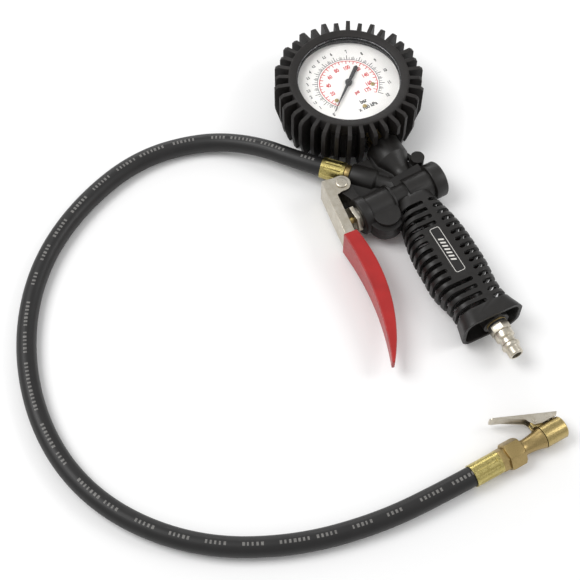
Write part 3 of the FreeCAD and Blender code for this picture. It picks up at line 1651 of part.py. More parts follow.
def claw_slot():
    """The window in the head's wall that the clip's claw drops through."""
    return padded(
        "claw_slot",
        [("slot_start", "2"), ("slot_end", "2"), ("slot_end", "9"), ("slot_start", "9")],
        "-slot_half",
        "2 * slot_half",
        CLIP_FRAME,
    )


def clip():
    """The clip lever: a pressed channel with ears on the pin and a claw at its jaw."""
    p = {name: spot("clip", name) for name in CLIP}
    points = list(p.values())
    solid = extruded(points, -S.clip_half, 2 * S.clip_half)
    corners = [edge for edge in solid.Edges if at_tail_corner(edge, p["tail_top"])]
    solid = solid.makeFillet(S.clip_corner, corners)
    run = (p["jaw_top"] - p["tail_top"]).normalize()
    inward = Vector(run.y, -run.x, 0)
    drop = inward * (S.clip_sheet if inward.y < 0 else -S.clip_sheet)
    inside = [p["tail_top"] + drop + run * 4, p["jaw_top"] + drop]
    inside += [p["jaw_top"] + drop + Vector(4, -8, 0), Vector(40, -4, 0), Vector(20, 20, 0)]
    width = S.clip_half - S.clip_sheet
    channel = solid.cut(extruded(inside, -width, 2 * width))
    claw_points = [spot("claw", name) for name in CLAW]
    claw = extruded(claw_points, -S.claw_half, 2 * S.claw_half)
    claw = claw.common(under_plate(p["tail_top"], run, drop))
    hole = Part.makeCylinder(
        S.clip_pin_radius + S.pin_slip, 20, Vector(S.clip_pin_along, S.clip_pin_height, -10)
    )
    node(shaped("clip_pressing", channel.fuse(claw).cut(hole), CLIP_FRAME), "clip_lever")
    spring = coil(1.6, 0.6, -1.9, 1.9, 4)
    node(shaped("clip_coil", spring, pin_place()), "clip_spring")


def at_tail_corner(edge, tail):
    """True for the two short edges at the corners of the clip's tail."""
    first, last = [vertex.Point for vertex in edge.Vertexes]
    flat = abs(first.z - last.z) < 0.01
    return flat and max(math.hypot(v.x - tail.x, v.y - tail.y) for v in (first, last)) < S.clip_sheet + 0.1


def under_plate(start, run, drop):
    """A large block whose top face is the middle of the clip's plate."""
    top = [start - run * 10 + drop * 0.5, start + run * 70 + drop * 0.5]
    low = [top[1] + Vector(0, -60, 0), top[0] + Vector(0, -60, 0)]
    return extruded(top + low, -20, 40)


# ---------------------------------------------------------------- assembly and export
def build():
    gun_body()
    label_plate()
    gun_fittings()
    valve()
    lever()
    gauge_boot()
    gauge_case()
    gauge_dial()
    gauge_socket()
    angle = bourdon()
    tip_post = bourdon_tip(angle)
    sector = movement()
    link_rod(sector, tip_post)
    pinion_and_pointer()
    hose_ends()
    hose()
    connector()
    clip()


def check_and_export():
    """Refuse a failed object or an unsound shape, then write one file for each sub-part."""
    doc.recompute()
    failed = [thing.Name for thing in doc.Objects if {"Invalid", "Error"} & set(thing.State)]
    if failed:
        raise RuntimeError(f"failed objects: {failed}")
    os.makedirs("parts", exist_ok=True)
    for thing in nodes:
        shape = thing.Shape
        if shape.isNull() or not shape.isValid() or shape.Volume <= 0:
            raise RuntimeError(f"unsound shape: {thing.Label}")
        shape.exportStep(f"parts/{thing.Label}.step")
        print(f"{thing.Label}: {len(shape.Solids)} solid(s), {shape.Volume:.1f} mm3")


build()
check_and_export()
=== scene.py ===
import json
import math

import bmesh
import bpy
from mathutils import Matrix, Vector


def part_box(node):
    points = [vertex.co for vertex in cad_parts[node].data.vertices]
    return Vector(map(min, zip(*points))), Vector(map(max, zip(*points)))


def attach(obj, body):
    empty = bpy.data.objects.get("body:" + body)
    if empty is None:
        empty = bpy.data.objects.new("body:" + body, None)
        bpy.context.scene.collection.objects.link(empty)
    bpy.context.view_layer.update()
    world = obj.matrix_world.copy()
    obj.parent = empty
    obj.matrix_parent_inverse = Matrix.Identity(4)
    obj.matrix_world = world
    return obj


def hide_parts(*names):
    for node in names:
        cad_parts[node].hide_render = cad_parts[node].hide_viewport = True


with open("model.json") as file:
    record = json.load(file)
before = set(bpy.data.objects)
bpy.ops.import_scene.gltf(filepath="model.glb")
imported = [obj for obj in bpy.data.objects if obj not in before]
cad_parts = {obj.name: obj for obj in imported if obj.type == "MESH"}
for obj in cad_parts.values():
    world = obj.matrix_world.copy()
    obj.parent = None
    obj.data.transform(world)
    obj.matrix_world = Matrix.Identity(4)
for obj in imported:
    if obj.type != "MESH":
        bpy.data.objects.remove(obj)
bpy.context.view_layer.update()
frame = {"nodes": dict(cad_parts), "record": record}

MM = 0.001
scene = bpy.context.scene

# Where the gauge and its dial lie, in millimetres.
GAUGE_AXIS = Vector((15.65, 91.61, 0.0))
DIAL_TOP = 33.0
PARTING_HEIGHT = 15.0       # the gun's mid-plane, where its mould parts
SMOOTH_DEGREES = 22.0       # faces that meet at less than this look like one curved surface

# The dial's scales: where they start, how far they go, and the radii of their parts in millimetres.
SCALE_ZERO = 51.0           # degrees, clockwise from straight down
SCALE_SWEEP = 268.0
FULL_SCALE = 12.0           # bar
RED_FULL_SCALE = 175        # psi
PSI_PER_BAR = 14.504
INK = 0.05                  # thickness of printed ink, drawn thick enough to show
BAR_BAND = (22.6, 22.95)
BAR_STROKES = {"whole": (22.9, 26.6, 0.5), "half": (22.9, 25.8, 0.42), "fifth": (22.9, 24.9, 0.34)}
BAR_FIGURES_AT = 30.0
PSI_BAND = (21.0, 21.6)
PSI_STROKES = {"ten": (18.6, 21.4, 0.6), "five": (19.7, 21.4, 0.42)}
PSI_FIGURES_AT = 14.8
BAND_STEPS = 134

# The label's print: a border line and slanted bars.
BORDER_IN = 0.8             # from the label's edge
BORDER_LINE = 0.38
BORDER_CORNER = 1.6
BAR_WIDE, BAR_TALL, BAR_PITCH, BAR_SLANT = 1.3, 3.6, 2.9, 0.7
BARS_EACH_SIDE = 3

# The hose's route, from inside the gun's ferrule to inside the connector's.
HOSE_ROUTE = (
    (-19.972, 35.996, 15.0),
    (-41.384, 59.776, 15.0),
    (-62.85, 93.71, 10.5),
    (-94.85, 117.71, 6.75),
    (-142.85, 126.21, 6.75),
    (-195.35, 110.71, 6.75),
    (-239.85, 81.21, 6.75),
    (-272.35, 37.21, 6.75),
    (-289.85, -15.79, 6.75),
    (-290.35, -68.79, 6.75),
    (-272.35, -116.29, 6.75),
    (-235.85, -157.79, 6.75),
    (-185.85, -184.79, 6.75),
    (-132.85, -197.79, 6.9),
    (-83.05, -200.79, 8.5),
    (-45.05, -200.79, 8.5),
)
HOSE_RADIUS = 6.75
HOSE_BORE = 3.2
HOSE_SIDES = 40
MARK_PITCH = 2.9            # one grey mark on the hose, with its gap
MARKS_A_GROUP = 8.0
MARK_HALF_HIGH = 1.2


# --- small helpers -------------------------------------------------------------------------------


def linear(code):
    """An sRGB hex colour as Blender's linear RGBA."""
    parts = [int(code[start : start + 2], 16) / 255 for start in (1, 3, 5)]
    made = [c / 12.92 if c <= 0.04045 else ((c + 0.055) / 1.055) ** 2.4 for c in parts]
    return (*made, 1.0)


def add(tree, kind, settings=(), **sockets):
    """Add one shader node; a socket takes a value or another node's output.

    A socket is given by its name, or by its number, where s0 is the first input.
    """
    node = tree.nodes.new("ShaderNode" + kind)
    for name, value in dict(settings).items():
        setattr(node, name, value)
    for name, value in sockets.items():
        key = int(name[1:]) if name[1:].isdigit() else name.replace("_", " ")
        if isinstance(value, bpy.types.NodeSocket):
            tree.links.new(value, node.inputs[key])
        else:
            node.inputs[key].default_value = value
    return node


def finish(name, **look):
    """A new material with one Principled shader, and its node tree."""
    made = bpy.data.materials.new(name)
    made.use_nodes = True
    tree = made.node_tree
    tree.nodes.clear()
    shader = add(tree, "BsdfPrincipled", **look)
    add(tree, "OutputMaterial", Surface=shader.outputs[0])
    return made, tree, shader


def place_of(tree):
    """Where a point lies on the object, in metres."""
    return add(tree, "TexCoord").outputs["Object"]


def grain(tree, size_mm, where=None, detail=3.0, roughness=0.55):
    """Noise whose blotches are about size_mm across, from 0 to 1."""
    where = where or place_of(tree)
    noise = add(tree, "TexNoise", Vector=where, Scale=1 / (size_mm * MM), Detail=detail)
    noise.inputs["Roughness"].default_value = roughness
    return noise.outputs[0]


def between(tree, factor, low, high):
    """A number that goes from low to high as factor goes from 0.3 to 0.7."""
    sockets = {"s0": factor, "s1": 0.3, "s2": 0.7, "s3": low, "s4": high}
    return add(tree, "MapRange", **sockets).outputs[0]


def tint(tree, factor, first, second):
    """A colour between two hex colours."""
    spread = between(tree, factor, 0.0, 1.0)
    mix = add(tree, "Mix", {"data_type": "RGBA"}, s0=spread, s6=linear(first), s7=linear(second))
    return mix.outputs[2]


def relief(tree, shader, height, depth_mm, edge_mm=0.0, strength=1.0):
    """Bump of a real depth on the shader, over corners that look rounded by edge_mm."""
    bump = add(tree, "Bump", Strength=strength, Distance=depth_mm * MM, Height=height)
    if edge_mm:
        rounded = add(tree, "Bevel", {"samples": 6}, Radius=edge_mm * MM)
        tree.links.new(rounded.outputs[0], bump.inputs["Normal"])
    tree.links.new(bump.outputs[0], shader.inputs["Normal"])


def math_node(tree, operation, first, second=0.0, third=0.0):
    """The result of one sum on numbers or other nodes' outputs."""
    sockets = {"s0": first, "s1": second, "s2": third}
    return add(tree, "Math", {"operation": operation}, **sockets).outputs[0]


# --- materials -----------------------------------------------------------------------------------


def moulded_nylon():
    # Glass-filled nylon from a spark-eroded mould: warm black, a fine even texture with a soft
    # sheen, and the mould's parting line at half thickness. The texture is drawn a few times
    # coarser than the real one, which would be too fine to show.
    made, tree, shader = finish("moulded_nylon", IOR=1.45)
    colour = tint(tree, grain(tree, 7.0), "#151312", "#1b1917")
    tree.links.new(colour, shader.inputs["Base Color"])
    texture = grain(tree, 0.45, detail=2.0)
    tree.links.new(between(tree, grain(tree, 3.0), 0.38, 0.48), shader.inputs["Roughness"])
    height = add(tree, "SeparateXYZ", Vector=place_of(tree)).outputs[2]
    offset = math_node(tree, "ABSOLUTE", math_node(tree, "SUBTRACT", height, PARTING_HEIGHT * MM))
    seam = add(tree, "MapRange", s0=offset, s1=0.1 * MM, s2=0.35 * MM, s3=1.0, s4=0.0).outputs[0]
    both = math_node(tree, "MULTIPLY_ADD", texture, 0.35, seam)
    relief(tree, shader, both, 0.1, 0.5)
    return made


def moulded_rubber():
    # Rubber boot: dull charcoal with a faint bloom, softer corners than the nylon.
    made, tree, shader = finish("moulded_rubber", IOR=1.42)
    colour = tint(tree, grain(tree, 9.0), "#191615", "#211e1c")
    tree.links.new(colour, shader.inputs["Base Color"])
    tree.links.new(between(tree, grain(tree, 2.5), 0.50, 0.62), shader.inputs["Roughness"])
    relief(tree, shader, grain(tree, 0.7), 0.04, 0.6)
    return made


def hose_rubber():
    # Extruded nitrile hose with a smooth cover: charcoal, a long soft highlight, faint lengthwise
    # draw lines, and plain grey marks in groups along its top instead of print.
    made, tree, shader = finish("extruded_hose_rubber", IOR=1.45)
    lengthwise = add(tree, "UVMap", {"uv_map": "length_mm"}).outputs[0]
    parts = add(tree, "SeparateXYZ", Vector=lengthwise)
    along, around = parts.outputs[0], parts.outputs[1]
    cell = math_node(tree, "FLOOR", math_node(tree, "DIVIDE", along, MARK_PITCH))
    group_long = MARKS_A_GROUP * MARK_PITCH
    group_of = math_node(tree, "FLOOR", math_node(tree, "DIVIDE", along, group_long))
    inside = math_node(tree, "FRACT", math_node(tree, "DIVIDE", along, MARK_PITCH))
    chance = add(tree, "TexWhiteNoise", {"noise_dimensions": "1D"}, W=cell).outputs[0]
    wide = math_node(tree, "MULTIPLY_ADD", chance, 0.25, 0.36)
    dash = math_node(tree, "LESS_THAN", inside, wide)
    first = math_node(tree, "FRACT", math_node(tree, "DIVIDE", cell, MARKS_A_GROUP))
    ends = add(tree, "TexWhiteNoise", {"noise_dimensions": "1D"}, W=group_of).outputs[0]
    stop = math_node(tree, "MULTIPLY_ADD", ends, 0.5, 0.4)
    group = math_node(tree, "LESS_THAN", first, stop)
    off_line = math_node(tree, "ABSOLUTE", around)
    band = math_node(tree, "LESS_THAN", off_line, MARK_HALF_HIGH)
    print_area = math_node(tree, "MULTIPLY", math_node(tree, "MULTIPLY", dash, group), band)
    worn = between(tree, grain(tree, 1.1), 0.45, 0.85)
    marks = math_node(tree, "MULTIPLY", print_area, worn)
    rubber = tint(tree, grain(tree, 11.0), "#151414", "#1b1a1a")
    mix = add(tree, "Mix", {"data_type": "RGBA"}, s0=marks, s6=rubber, s7=linear("#83817e"))
    tree.links.new(mix.outputs[2], shader.inputs["Base Color"])
    stretched = add(tree, "Mapping", Vector=lengthwise, Scale=(0.02, 1.4, 1.0)).outputs[0]
    lines = add(tree, "TexNoise", Vector=stretched, Scale=1.0, Detail=2.0).outputs[0]
    tree.links.new(between(tree, lines, 0.40, 0.52), shader.inputs["Roughness"])
    relief(tree, shader, lines, 0.05)
    return made


def red_vinyl():
    # Dip-moulded PVC sleeve: saturated red, a slightly uneven skin with a soft gloss.
    made, tree, shader = finish("dipped_red_vinyl", IOR=1.48, Coat_Weight=0.15, Coat_Roughness=0.25)
    colour = tint(tree, grain(tree, 14.0, detail=1.0), "#98110f", "#a81715")
    tree.links.new(colour, shader.inputs["Base Color"])
    tree.links.new(between(tree, grain(tree, 2.0), 0.34, 0.46), shader.inputs["Roughness"])
    relief(tree, shader, grain(tree, 1.6, detail=1.0), 0.05, 1.0)
    return made


def nickel_plate():
    # Nickel over pressed steel: warm pale grey, a satin grain left by the press and the barrel.
    made, tree, shader = finish("satin_nickel_plate", Metallic=1.0)
    colour = tint(tree, grain(tree, 5.0), "#c3bbaa", "#d6d0c3")
    tree.links.new(colour, shader.inputs["Base Color"])
    streaks = add(tree, "Mapping", Vector=place_of(tree), Scale=(0.35, 1.0, 1.0)).outputs[0]
    satin = grain(tree, 0.5, streaks)
    tree.links.new(between(tree, satin, 0.26, 0.40), shader.inputs["Roughness"])
    relief(tree, shader, satin, 0.012, 0.35)
    return made


def brass(name, dark, light, rough, lines_mm=0.0, speck_mm=0.5):
    # Machined brass: warm pale gold with a speckle, or with tool lines across the connector's
    # axis, which are spaced wider than real ones so that they show.
    made, tree, shader = finish(name, Metallic=1.0)
    speck = grain(tree, speck_mm, detail=4.0)
    tree.links.new(tint(tree, speck, dark, light), shader.inputs["Base Color"])
    tree.links.new(between(tree, speck, rough, rough + 0.14), shader.inputs["Roughness"])
    if lines_mm:
        # 2 pi over the Wave texture's own factor of 20 turns a period into a scale.
        wave = add(tree, "TexWave", Vector=place_of(tree), Scale=math.tau / 20 / (lines_mm * MM))
        wave.inputs["Distortion"].default_value = 0.6
        relief(tree, shader, wave.outputs[1], 0.03, 0.3)
    else:
        relief(tree, shader, speck, 0.008, 0.35)
    return made


def dial_enamel():
    # White enamel on aluminium: near white, faintly warm, a low even sheen.
    made, tree, shader = finish("white_dial_enamel", IOR=1.5)
    tree.links.new(tint(tree, grain(tree, 12.0), "#d9d6d3", "#dedbd8"), shader.inputs["Base Color"])
    tree.links.new(between(tree, grain(tree, 1.0), 0.42, 0.5), shader.inputs["Roughness"])
    relief(tree, shader, grain(tree, 0.6), 0.006)
    return made


def ink(name, thin, full):
    # Screen-printed ink: flat colour, a touch thinner in places.
    made, tree, shader = finish(name, IOR=1.5)
    tree.links.new(tint(tree, grain(tree, 0.8), full, thin), shader.inputs["Base Color"])
    tree.links.new(between(tree, grain(tree, 0.5), 0.5, 0.6), shader.inputs["Roughness"])
    return made


def even_skin(name, dark, light, rough, metallic=0.0):
    # Film, enamel, nitrile or bare steel: an even colour under a fine orange-peel skin.
    made, tree, shader = finish(name, Metallic=metallic)
    tree.links.new(tint(tree, grain(tree, 4.0), dark, light), shader.inputs["Base Color"])
    skin = grain(tree, 0.8)
    tree.links.new(between(tree, skin, rough, rough + 0.1), shader.inputs["Roughness"])
    relief(tree, shader, skin, 0.012, 0.2)
    return made


def clear_window():
    # Polished polycarbonate: clear, with only its reflections showing; light passes to the dial.
    made, tree, shader = finish(
        "clear_polycarbonate", Base_Color=linear("#fbfcfc"), Roughness=0.03, IOR=1.45,
        Transmission_Weight=1.0,
    )
    output = next(node for node in tree.nodes if node.type == "OUTPUT_MATERIAL")
    shadow = add(tree, "LightPath").outputs["Is Shadow Ray"]
    passing = add(tree, "BsdfTransparent")
    mix = add(tree, "MixShader", s0=shadow, s1=shader.outputs[0], s2=passing.outputs[0])
    tree.links.new(mix.outputs[0], output.inputs["Surface"])
    return made


MATERIALS = {
    "nylon": moulded_nylon(),
    "label": even_skin("printed_label_film", "#141414", "#1b1a1a", 0.30),
    "brass": brass("milled_brass", "#8d794c", "#b8a272", 0.32),
    "ferrule_brass": brass("swaged_brass", "#ab9c5a", "#cdbf80", 0.24, speck_mm=0.9),
    "nickel": nickel_plate(),
    "seal_rubber": even_skin("nitrile_seal", "#161616", "#1f1f1f", 0.5),
    "spring_steel": even_skin("drawn_spring_wire", "#85858a", "#a0a0a3", 0.28, 1.0),
    "red_vinyl": red_vinyl(),
    "boot_rubber": moulded_rubber(),
    "case_steel": even_skin("polished_case_steel", "#5c5c5e", "#9a9a9c", 0.20, 1.0),
    "clear_lens": clear_window(),
    "dial_white": dial_enamel(),
    "pointer_black": even_skin("pointer_enamel", "#1d1d1e", "#29292a", 0.35),
    "hose_rubber": hose_rubber(),
}
TURNED_BRASS = brass("turned_brass", "#a08d5a", "#c6b27c", 0.24, lines_mm=0.8)
BLACK_INK = ink("black_dial_ink", "#121214", "#08080a")
RED_INK = ink("red_dial_ink", "#cc1c24", "#b8101a")
PALE_INK = ink("pale_label_ink", "#dedbd6", "#c9c6c0")


# --- pieces --------------------------------------------------------------------------------------


def alone(piece):
    """Select one object only."""
    bpy.ops.object.select_all(action="DESELECT")
    piece.select_set(True)
    bpy.context.view_layer.objects.active = piece


def show(piece, body, look):
    """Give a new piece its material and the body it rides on."""
    piece.data.materials.clear()
    piece.data.materials.append(look)
    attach(piece, body)
    return piece


def body_name(node):
    """The body that a CAD node belongs to."""
    bodies = frame["record"]["behaviour"]["bodies"]
    return next(body for body, nodes in bodies.items() if node in nodes)


def refined(node, edge_mm, look):
    """A merged and smoothed copy of a CAD node's mesh, with small rounded edges, in its place."""
    source = frame["nodes"][node]
    piece = bpy.data.objects.new("shown_" + node, source.data.copy())
    scene.collection.objects.link(piece)
    alone(piece)
    if piece.data.has_custom_normals:
        bpy.ops.mesh.customdata_custom_splitnormals_clear()
    bpy.ops.object.mode_set(mode="EDIT")
    bpy.ops.mesh.select_all(action="SELECT")
    bpy.ops.mesh.remove_doubles(threshold=2e-6)
    if edge_mm:
        bpy.ops.mesh.dissolve_limited(angle_limit=math.radians(1.0))
    bpy.ops.object.mode_set(mode="OBJECT")
    if edge_mm:
        bevel = piece.modifiers.new("edges", "BEVEL")
        bevel.width = edge_mm * MM
        bevel.segments = 2
        bevel.limit_method = "ANGLE"
        bevel.angle_limit = math.radians(35)
        bevel.use_clamp_overlap = True
        bpy.ops.object.modifier_apply(modifier=bevel.name)
    bpy.ops.object.shade_smooth_by_angle(angle=math.radians(SMOOTH_DEGREES))
    show(piece, body_name(node), look)
    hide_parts(node)
    return piece


def hose():
    """The hose: a round tube along one smooth curve through its route."""
    curve = bpy.data.curves.new("hose_route", "CURVE")
    curve.dimensions = "3D"
    spline = curve.splines.new("NURBS")
    spline.points.add(len(HOSE_ROUTE) - 1)
    for point, place in zip(spline.points, HOSE_ROUTE):
        point.co = (*[value * MM for value in place], 1.0)
    spline.order_u = 3
    spline.use_endpoint_u = True
    spline.resolution_u = 20
    line = bpy.data.objects.new("hose_route", curve)
    scene.collection.objects.link(line)
    mesh = bpy.data.meshes.new_from_object(line)
    path = [vertex.co.copy() for vertex in mesh.vertices]
    bpy.data.objects.remove(line)

    sides = HOSE_SIDES
    tube = bmesh.new()
    lengthwise = tube.loops.layers.uv.new("length_mm")
    rings, travelled, run = [], [], 0.0
    for index, centre in enumerate(path):
        before, after = path[max(index - 1, 0)], path[min(index + 1, len(path) - 1)]
        ahead = (after - before).normalized()
        across = ahead.cross(Vector((0, 0, 1))).normalized()
        above = across.cross(ahead)
        run += (centre - before).length if index else 0.0
        travelled.append(run / MM)
        for radius in (HOSE_RADIUS, HOSE_BORE):
            ring = []
            for side in range(sides):
                turn = math.tau * side / sides
                offset = above * math.cos(turn) + across * math.sin(turn)
                ring.append(tube.verts.new(centre + offset * radius * MM))
            rings.append(ring)
    arc = math.tau * HOSE_RADIUS / sides
    for index in range(len(path) - 1):
        for wall in (0, 1):
            near, far = rings[2 * index + wall], rings[2 * index + 2 + wall]
            for side in range(sides):
                after = (side + 1) % sides
                corners = [near[side], far[side], far[after], near[after]]
                face = tube.faces.new(corners if wall == 0 else corners[::-1])
                face.smooth = True
                for loop in face.loops:
                    is_far = loop.vert in (far[side], far[after])
                    is_after = loop.vert in (near[after], far[after])
                    step = side + is_after
                    turned = step if step <= sides / 2 else step - sides
                    if side >= sides / 2:
                        turned = side - sides + is_after
                    loop[lengthwise].uv = (travelled[index + is_far], turned * arc)
    for index, order in ((0, 1), (len(path) - 1, -1)):
        outer, inner = rings[2 * index], rings[2 * index + 1]
        for side in range(sides):
            after = (side + 1) % sides
            corners = [outer[side], outer[after], inner[after], inner[side]]
            tube.faces.new(corners[::order])
    data = bpy.data.meshes.new("hose_tube")
    tube.normal_update()
    tube.to_mesh(data)
    tube.free()
    piece = bpy.data.objects.new("hose_tube", data)
    scene.collection.objects.link(piece)
    show(piece, "root", MATERIALS["hose_rubber"])
    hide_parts("hose")
    return piece, path


# --- dial ----------------------------------------------------------------------------------------


def scale_angle(bar):
    """Where a pressure lies on the scale, clockwise from straight down."""
    return math.radians(SCALE_ZERO + SCALE_SWEEP * bar / FULL_SCALE)


def dial_spot(radius, angle):
    """A point on the dial; the angle runs clockwise from straight down."""
    return Vector((-radius * math.sin(angle), -radius * math.cos(angle), 0.0))


def flat_tick(angle, inner, outer, width):
    """One printed stroke, pointing at the dial's centre."""
    bpy.ops.mesh.primitive_plane_add(size=1.0, location=(0, 0, 0))
    stroke = bpy.context.object
    stroke.scale = (width, outer - inner, 1.0)
    stroke.location = dial_spot((inner + outer) / 2, angle)
    stroke.rotation_euler = (0.0, 0.0, -angle)
    return stroke


def flat_arc(inner, outer, start, sweep, steps):
    """A printed band round the dial, spun from its first slice."""
    bpy.ops.mesh.primitive_plane_add(size=1.0, location=(0, 0, 0))
    band = bpy.context.object
    first = dial_spot(1.0, start)
    side = Vector((-first.y, first.x, 0.0)) * 0.05
    corners = (first * inner - side, first * inner, first * outer - side, first * outer)
    for vertex, corner in zip(band.data.vertices, corners):
        vertex.co = corner
    for edge in band.data.edges:
        edge.select = False
    for face in band.data.polygons:
        face.select = False
    for index, vertex in enumerate(band.data.vertices):
        vertex.select = index in (1, 3)
    alone(band)
    bpy.ops.object.mode_set(mode="EDIT")
    bpy.ops.mesh.select_mode(type="VERT")
    bpy.ops.mesh.spin(steps=steps, angle=sweep, center=(0, 0, 0), axis=(0, 0, 1))
    bpy.ops.object.mode_set(mode="OBJECT")
    return band


def flat_text(words, height, spot, narrow=0.85):
    """Generic figures or a unit, as a flat mesh centred on a spot of the dial."""
    bpy.ops.object.text_add(location=(0, 0, 0))
    sign = bpy.context.object
    sign.data.body = words
    sign.data.align_x = "CENTER"
    sign.data.align_y = "CENTER"
    sign.data.size = height / 0.73
    sign.data.resolution_u = 4
    sign.data.offset = 0.035 * sign.data.size
    sign.scale = (narrow, 1.0, 1.0)
    sign.location = spot
    alone(sign)
    bpy.ops.object.convert(target="MESH")
    return bpy.context.object


def printed(name, flats, look, origin, turn=0.0):
    """Join flat shapes drawn in millimetres, give them the thickness of ink and lay them down."""
    bpy.ops.object.select_all(action="DESELECT")
    for flat in flats:
        flat.select_set(True)
    bpy.context.view_layer.objects.active = flats[0]
    bpy.ops.object.transform_apply(location=True, rotation=True, scale=True)
    bpy.ops.object.join()
    piece = bpy.context.object
    piece.name = name
    bpy.ops.object.mode_set(mode="EDIT")
    bpy.ops.mesh.select_all(action="SELECT")
    bpy.ops.mesh.remove_doubles(threshold=1e-4)
    bpy.ops.object.mode_set(mode="OBJECT")
    for face in piece.data.polygons:
        if face.normal.z < 0:
            face.flip()
    solid = piece.modifiers.new("ink", "SOLIDIFY")
    solid.thickness = INK
    solid.offset = 1.0
    bpy.ops.object.modifier_apply(modifier=solid.name)
    piece.scale = (MM, MM, MM)
    piece.location = origin
    piece.rotation_euler = (0.0, 0.0, turn)
    bpy.ops.object.transform_apply(location=True, rotation=True, scale=True)
    return show(piece, "root", look)


def dial_print():
    """The black bar scale and the red psi scale inside it."""
    black, red = [], []
    for step in range(61):
        kind = "fifth" if step % 5 else "whole"
        black.append(flat_tick(scale_angle(step / 5), *BAR_STROKES[kind]))
    for step in range(1, 24, 2):
        black.append(flat_tick(scale_angle(step / 2), *BAR_STROKES["half"]))
    black.append(flat_arc(*BAR_BAND, scale_angle(0), math.radians(SCALE_SWEEP), BAND_STEPS))
    figures = [0, 1, 1.5, 2, 2.5, 3, 3.5, 4, 4.5, 5, 5.5, 6, 7, 8, 9, 10, 11, 12]
    for bar in figures:
        small = bar != int(bar)
        spot = dial_spot(BAR_FIGURES_AT, scale_angle(bar))
        black.append(flat_text(f"{bar:g}", 2.3 if small else 2.9, spot, 0.7))
    black.append(flat_text("bar", 3.4, Vector((1.3, -18.8, 0))))
    black.append(flat_text("x 100 kPa", 3.2, Vector((1.9, -24.6, 0))))
    top = RED_FULL_SCALE / PSI_PER_BAR
    red_sweep = math.radians(SCALE_SWEEP) * top / FULL_SCALE
    red.append(flat_arc(*PSI_BAND, scale_angle(0), red_sweep, BAND_STEPS))
    for psi in range(0, RED_FULL_SCALE + 1, 5):
        kind = "five" if psi % 10 else "ten"
        red.append(flat_tick(scale_angle(psi / PSI_PER_BAR), *PSI_STROKES[kind]))
    for psi in (*range(20, 161, 20), RED_FULL_SCALE):
        spot = dial_spot(PSI_FIGURES_AT, scale_angle(psi / PSI_PER_BAR))
        red.append(flat_text(str(psi), 3.3, spot, 0.78))
    red.append(flat_text("psi", 2.9, Vector((1.5, -9.6, 0))))
    origin = (GAUGE_AXIS + Vector((0, 0, DIAL_TOP))) * MM
    printed("dial_print_black", black, BLACK_INK, origin)
    printed("dial_print_red", red, RED_INK, origin)


def label_mark():
    """A pale outline and slanted bars on the handle's label."""
    low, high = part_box("label_plate")
    down = next(m["axis"] for m in frame["record"]["mounts"] if m["name"] == "air_inlet")
    turn = math.atan2(down[1], down[0])
    along = Vector((math.cos(turn), math.sin(turn), 0.0))
    across = Vector((-along.y, along.x, 0.0))
    middle = (low + high) / 2
    reach = [(v.co - middle) for v in frame["nodes"]["label_plate"].data.vertices]
    half_long = max(r.dot(along) for r in reach) / MM - BORDER_IN
    half_wide = max(r.dot(across) for r in reach) / MM - BORDER_IN
    bpy.ops.mesh.primitive_plane_add(size=2.0, location=(0, 0, 0))
    outline = bpy.context.object
    outline.scale = (half_long, half_wide, 1.0)
    alone(outline)
    bpy.ops.object.transform_apply(location=True, rotation=True, scale=True)
    bpy.ops.object.mode_set(mode="EDIT")
    bpy.ops.mesh.select_all(action="SELECT")
    bpy.ops.mesh.bevel(offset=BORDER_CORNER, segments=6, affect="VERTICES")
    bpy.ops.mesh.select_all(action="SELECT")
    bpy.ops.mesh.inset(thickness=BORDER_LINE, depth=0)
    bpy.ops.mesh.delete(type="FACE")
    bpy.ops.object.mode_set(mode="OBJECT")
    bars = [outline]
    for step in range(-BARS_EACH_SIDE, BARS_EACH_SIDE + 1):
        bpy.ops.mesh.primitive_plane_add(size=1.0, location=(0, 0, 0))
        bar = bpy.context.object
        for vertex in bar.data.vertices:
            slant = BAR_SLANT if vertex.co.y > 0 else -BAR_SLANT
            across_bar = vertex.co.x * BAR_WIDE + slant + step * BAR_PITCH
            vertex.co = Vector((across_bar, vertex.co.y * BAR_TALL, 0.0))
        bars.append(bar)
    origin = Vector((middle.x, middle.y, high.z))
    printed("label_print", bars, PALE_INK, origin, turn)


# --- the room ------------------------------------------------------------------------------------


def camera():
    """A long lens that looks down on the object at a slant."""
    data = bpy.data.cameras.new("camera")
    data.lens = 79.45
    data.sensor_width = 36.0
    data.clip_end = 20.0
    eye = Vector((-310.55, -397.79, 781.0)) * MM
    target = Vector((-97.35, -20.99, 0.0)) * MM
    seen = bpy.data.objects.new("camera", data)
    seen.location = eye
    seen.rotation_euler = (target - eye).to_track_quat("-Z", "Y").to_euler()
    scene.collection.objects.link(seen)
    scene.camera = seen


def softbox(name, place, aim, size, power, height=None):
    """A rectangular soft light that faces a point."""
    data = bpy.data.lights.new(name, "AREA")
    data.shape = "RECTANGLE"
    data.size = size
    data.size_y = height or size
    data.energy = power
    light = bpy.data.objects.new(name, data)
    light.location = Vector(place)
    light.rotation_euler = (Vector(aim) - Vector(place)).to_track_quat("-Z", "Y").to_euler()
    scene.collection.objects.link(light)


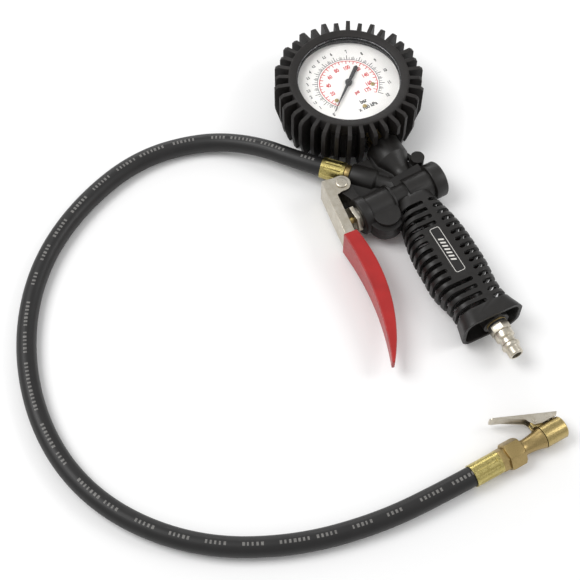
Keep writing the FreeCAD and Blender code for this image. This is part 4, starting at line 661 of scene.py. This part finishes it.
def studio():
    """A pale paper floor, an even white surround and three soft lights."""
    bpy.ops.mesh.primitive_plane_add(size=6.0, location=(0, 0, -0.0002))
    floor = bpy.context.object
    floor.name = "floor"
    paper, tree, shader = finish("white_paper", Roughness=0.9, Base_Color=linear("#f4f4f4"))
    floor.data.materials.append(paper)
    world = scene.world or bpy.data.worlds.new("world")
    scene.world = world
    world.use_nodes = True
    surround = world.node_tree.nodes["Background"]
    surround.inputs[0].default_value = linear("#ffffff")
    surround.inputs[1].default_value = 0.62
    middle = (-0.1, -0.03, 0.0)
    softbox("key", (-0.75, 0.45, 1.3), middle, 0.8, 12.0)
    softbox("fill", (0.95, -0.5, 1.0), middle, 0.6, 5.0)
    softbox("rim", (0.3, 1.3, 0.55), middle, 1.0, 4.0, 0.25)
    scene.view_settings.view_transform = "Standard"


# --- build ---------------------------------------------------------------------------------------

# Visible CAD nodes that get rounded edges, with the radius in millimetres.
EDGES = {
    "gun_body": 0.35,
    "rear_cap": 0.4,
    "gauge_boot": 0.45,
    "lever_channel": 0.3,
    "lever_sleeve": 0.8,
    "lever_pivot_pin": 0.4,
    "gland_nut": 0.3,
    "air_plug": 0.2,
    "gun_end_ferrule": 0.2,
    "tyre_end_ferrule": 0.2,
    "gun_end_hose_tail": 0.2,
    "tyre_end_hose_tail": 0.25,
    "chuck_body": 0.25,
    "chuck_head": 0.3,
    "clip_lever": 0.2,
    "clip_pin": 0.2,
    "gauge_socket": 0.25,
    "pointer": 0.12,
    "label_plate": 0.2,
    "bezel_ring": 0.2,
    "push_spool": 0.0,
    "dial_screws": 0.1,
    "pinion_arbor": 0.0,
    "gauge_port_bush": 0.0,
    "inlet_pipe": 0.0,
    "base_insert": 0.0,
    "plug_washer": 0.0,
    "dial_plate": 0.0,
    "gauge_case": 0.0,
    "gauge_lens": 0.0,
    "lens_gasket": 0.0,
    "clip_spring": 0.0,
}
LOOKS = {"chuck_head": TURNED_BRASS, "push_spool": TURNED_BRASS, "dial_screws": TURNED_BRASS}

camera()
tube, hose_path = hose()
slots = {part["node"]: part["material_slot"] for part in frame["record"]["subparts"]}
for name, node in frame["nodes"].items():
    node.data.materials.clear()
    node.data.materials.append(LOOKS.get(name) or MATERIALS[slots[name]])
for name, edge in EDGES.items():
    refined(name, edge, LOOKS.get(name) or MATERIALS[slots[name]])
dial_print()
label_mark()
studio()
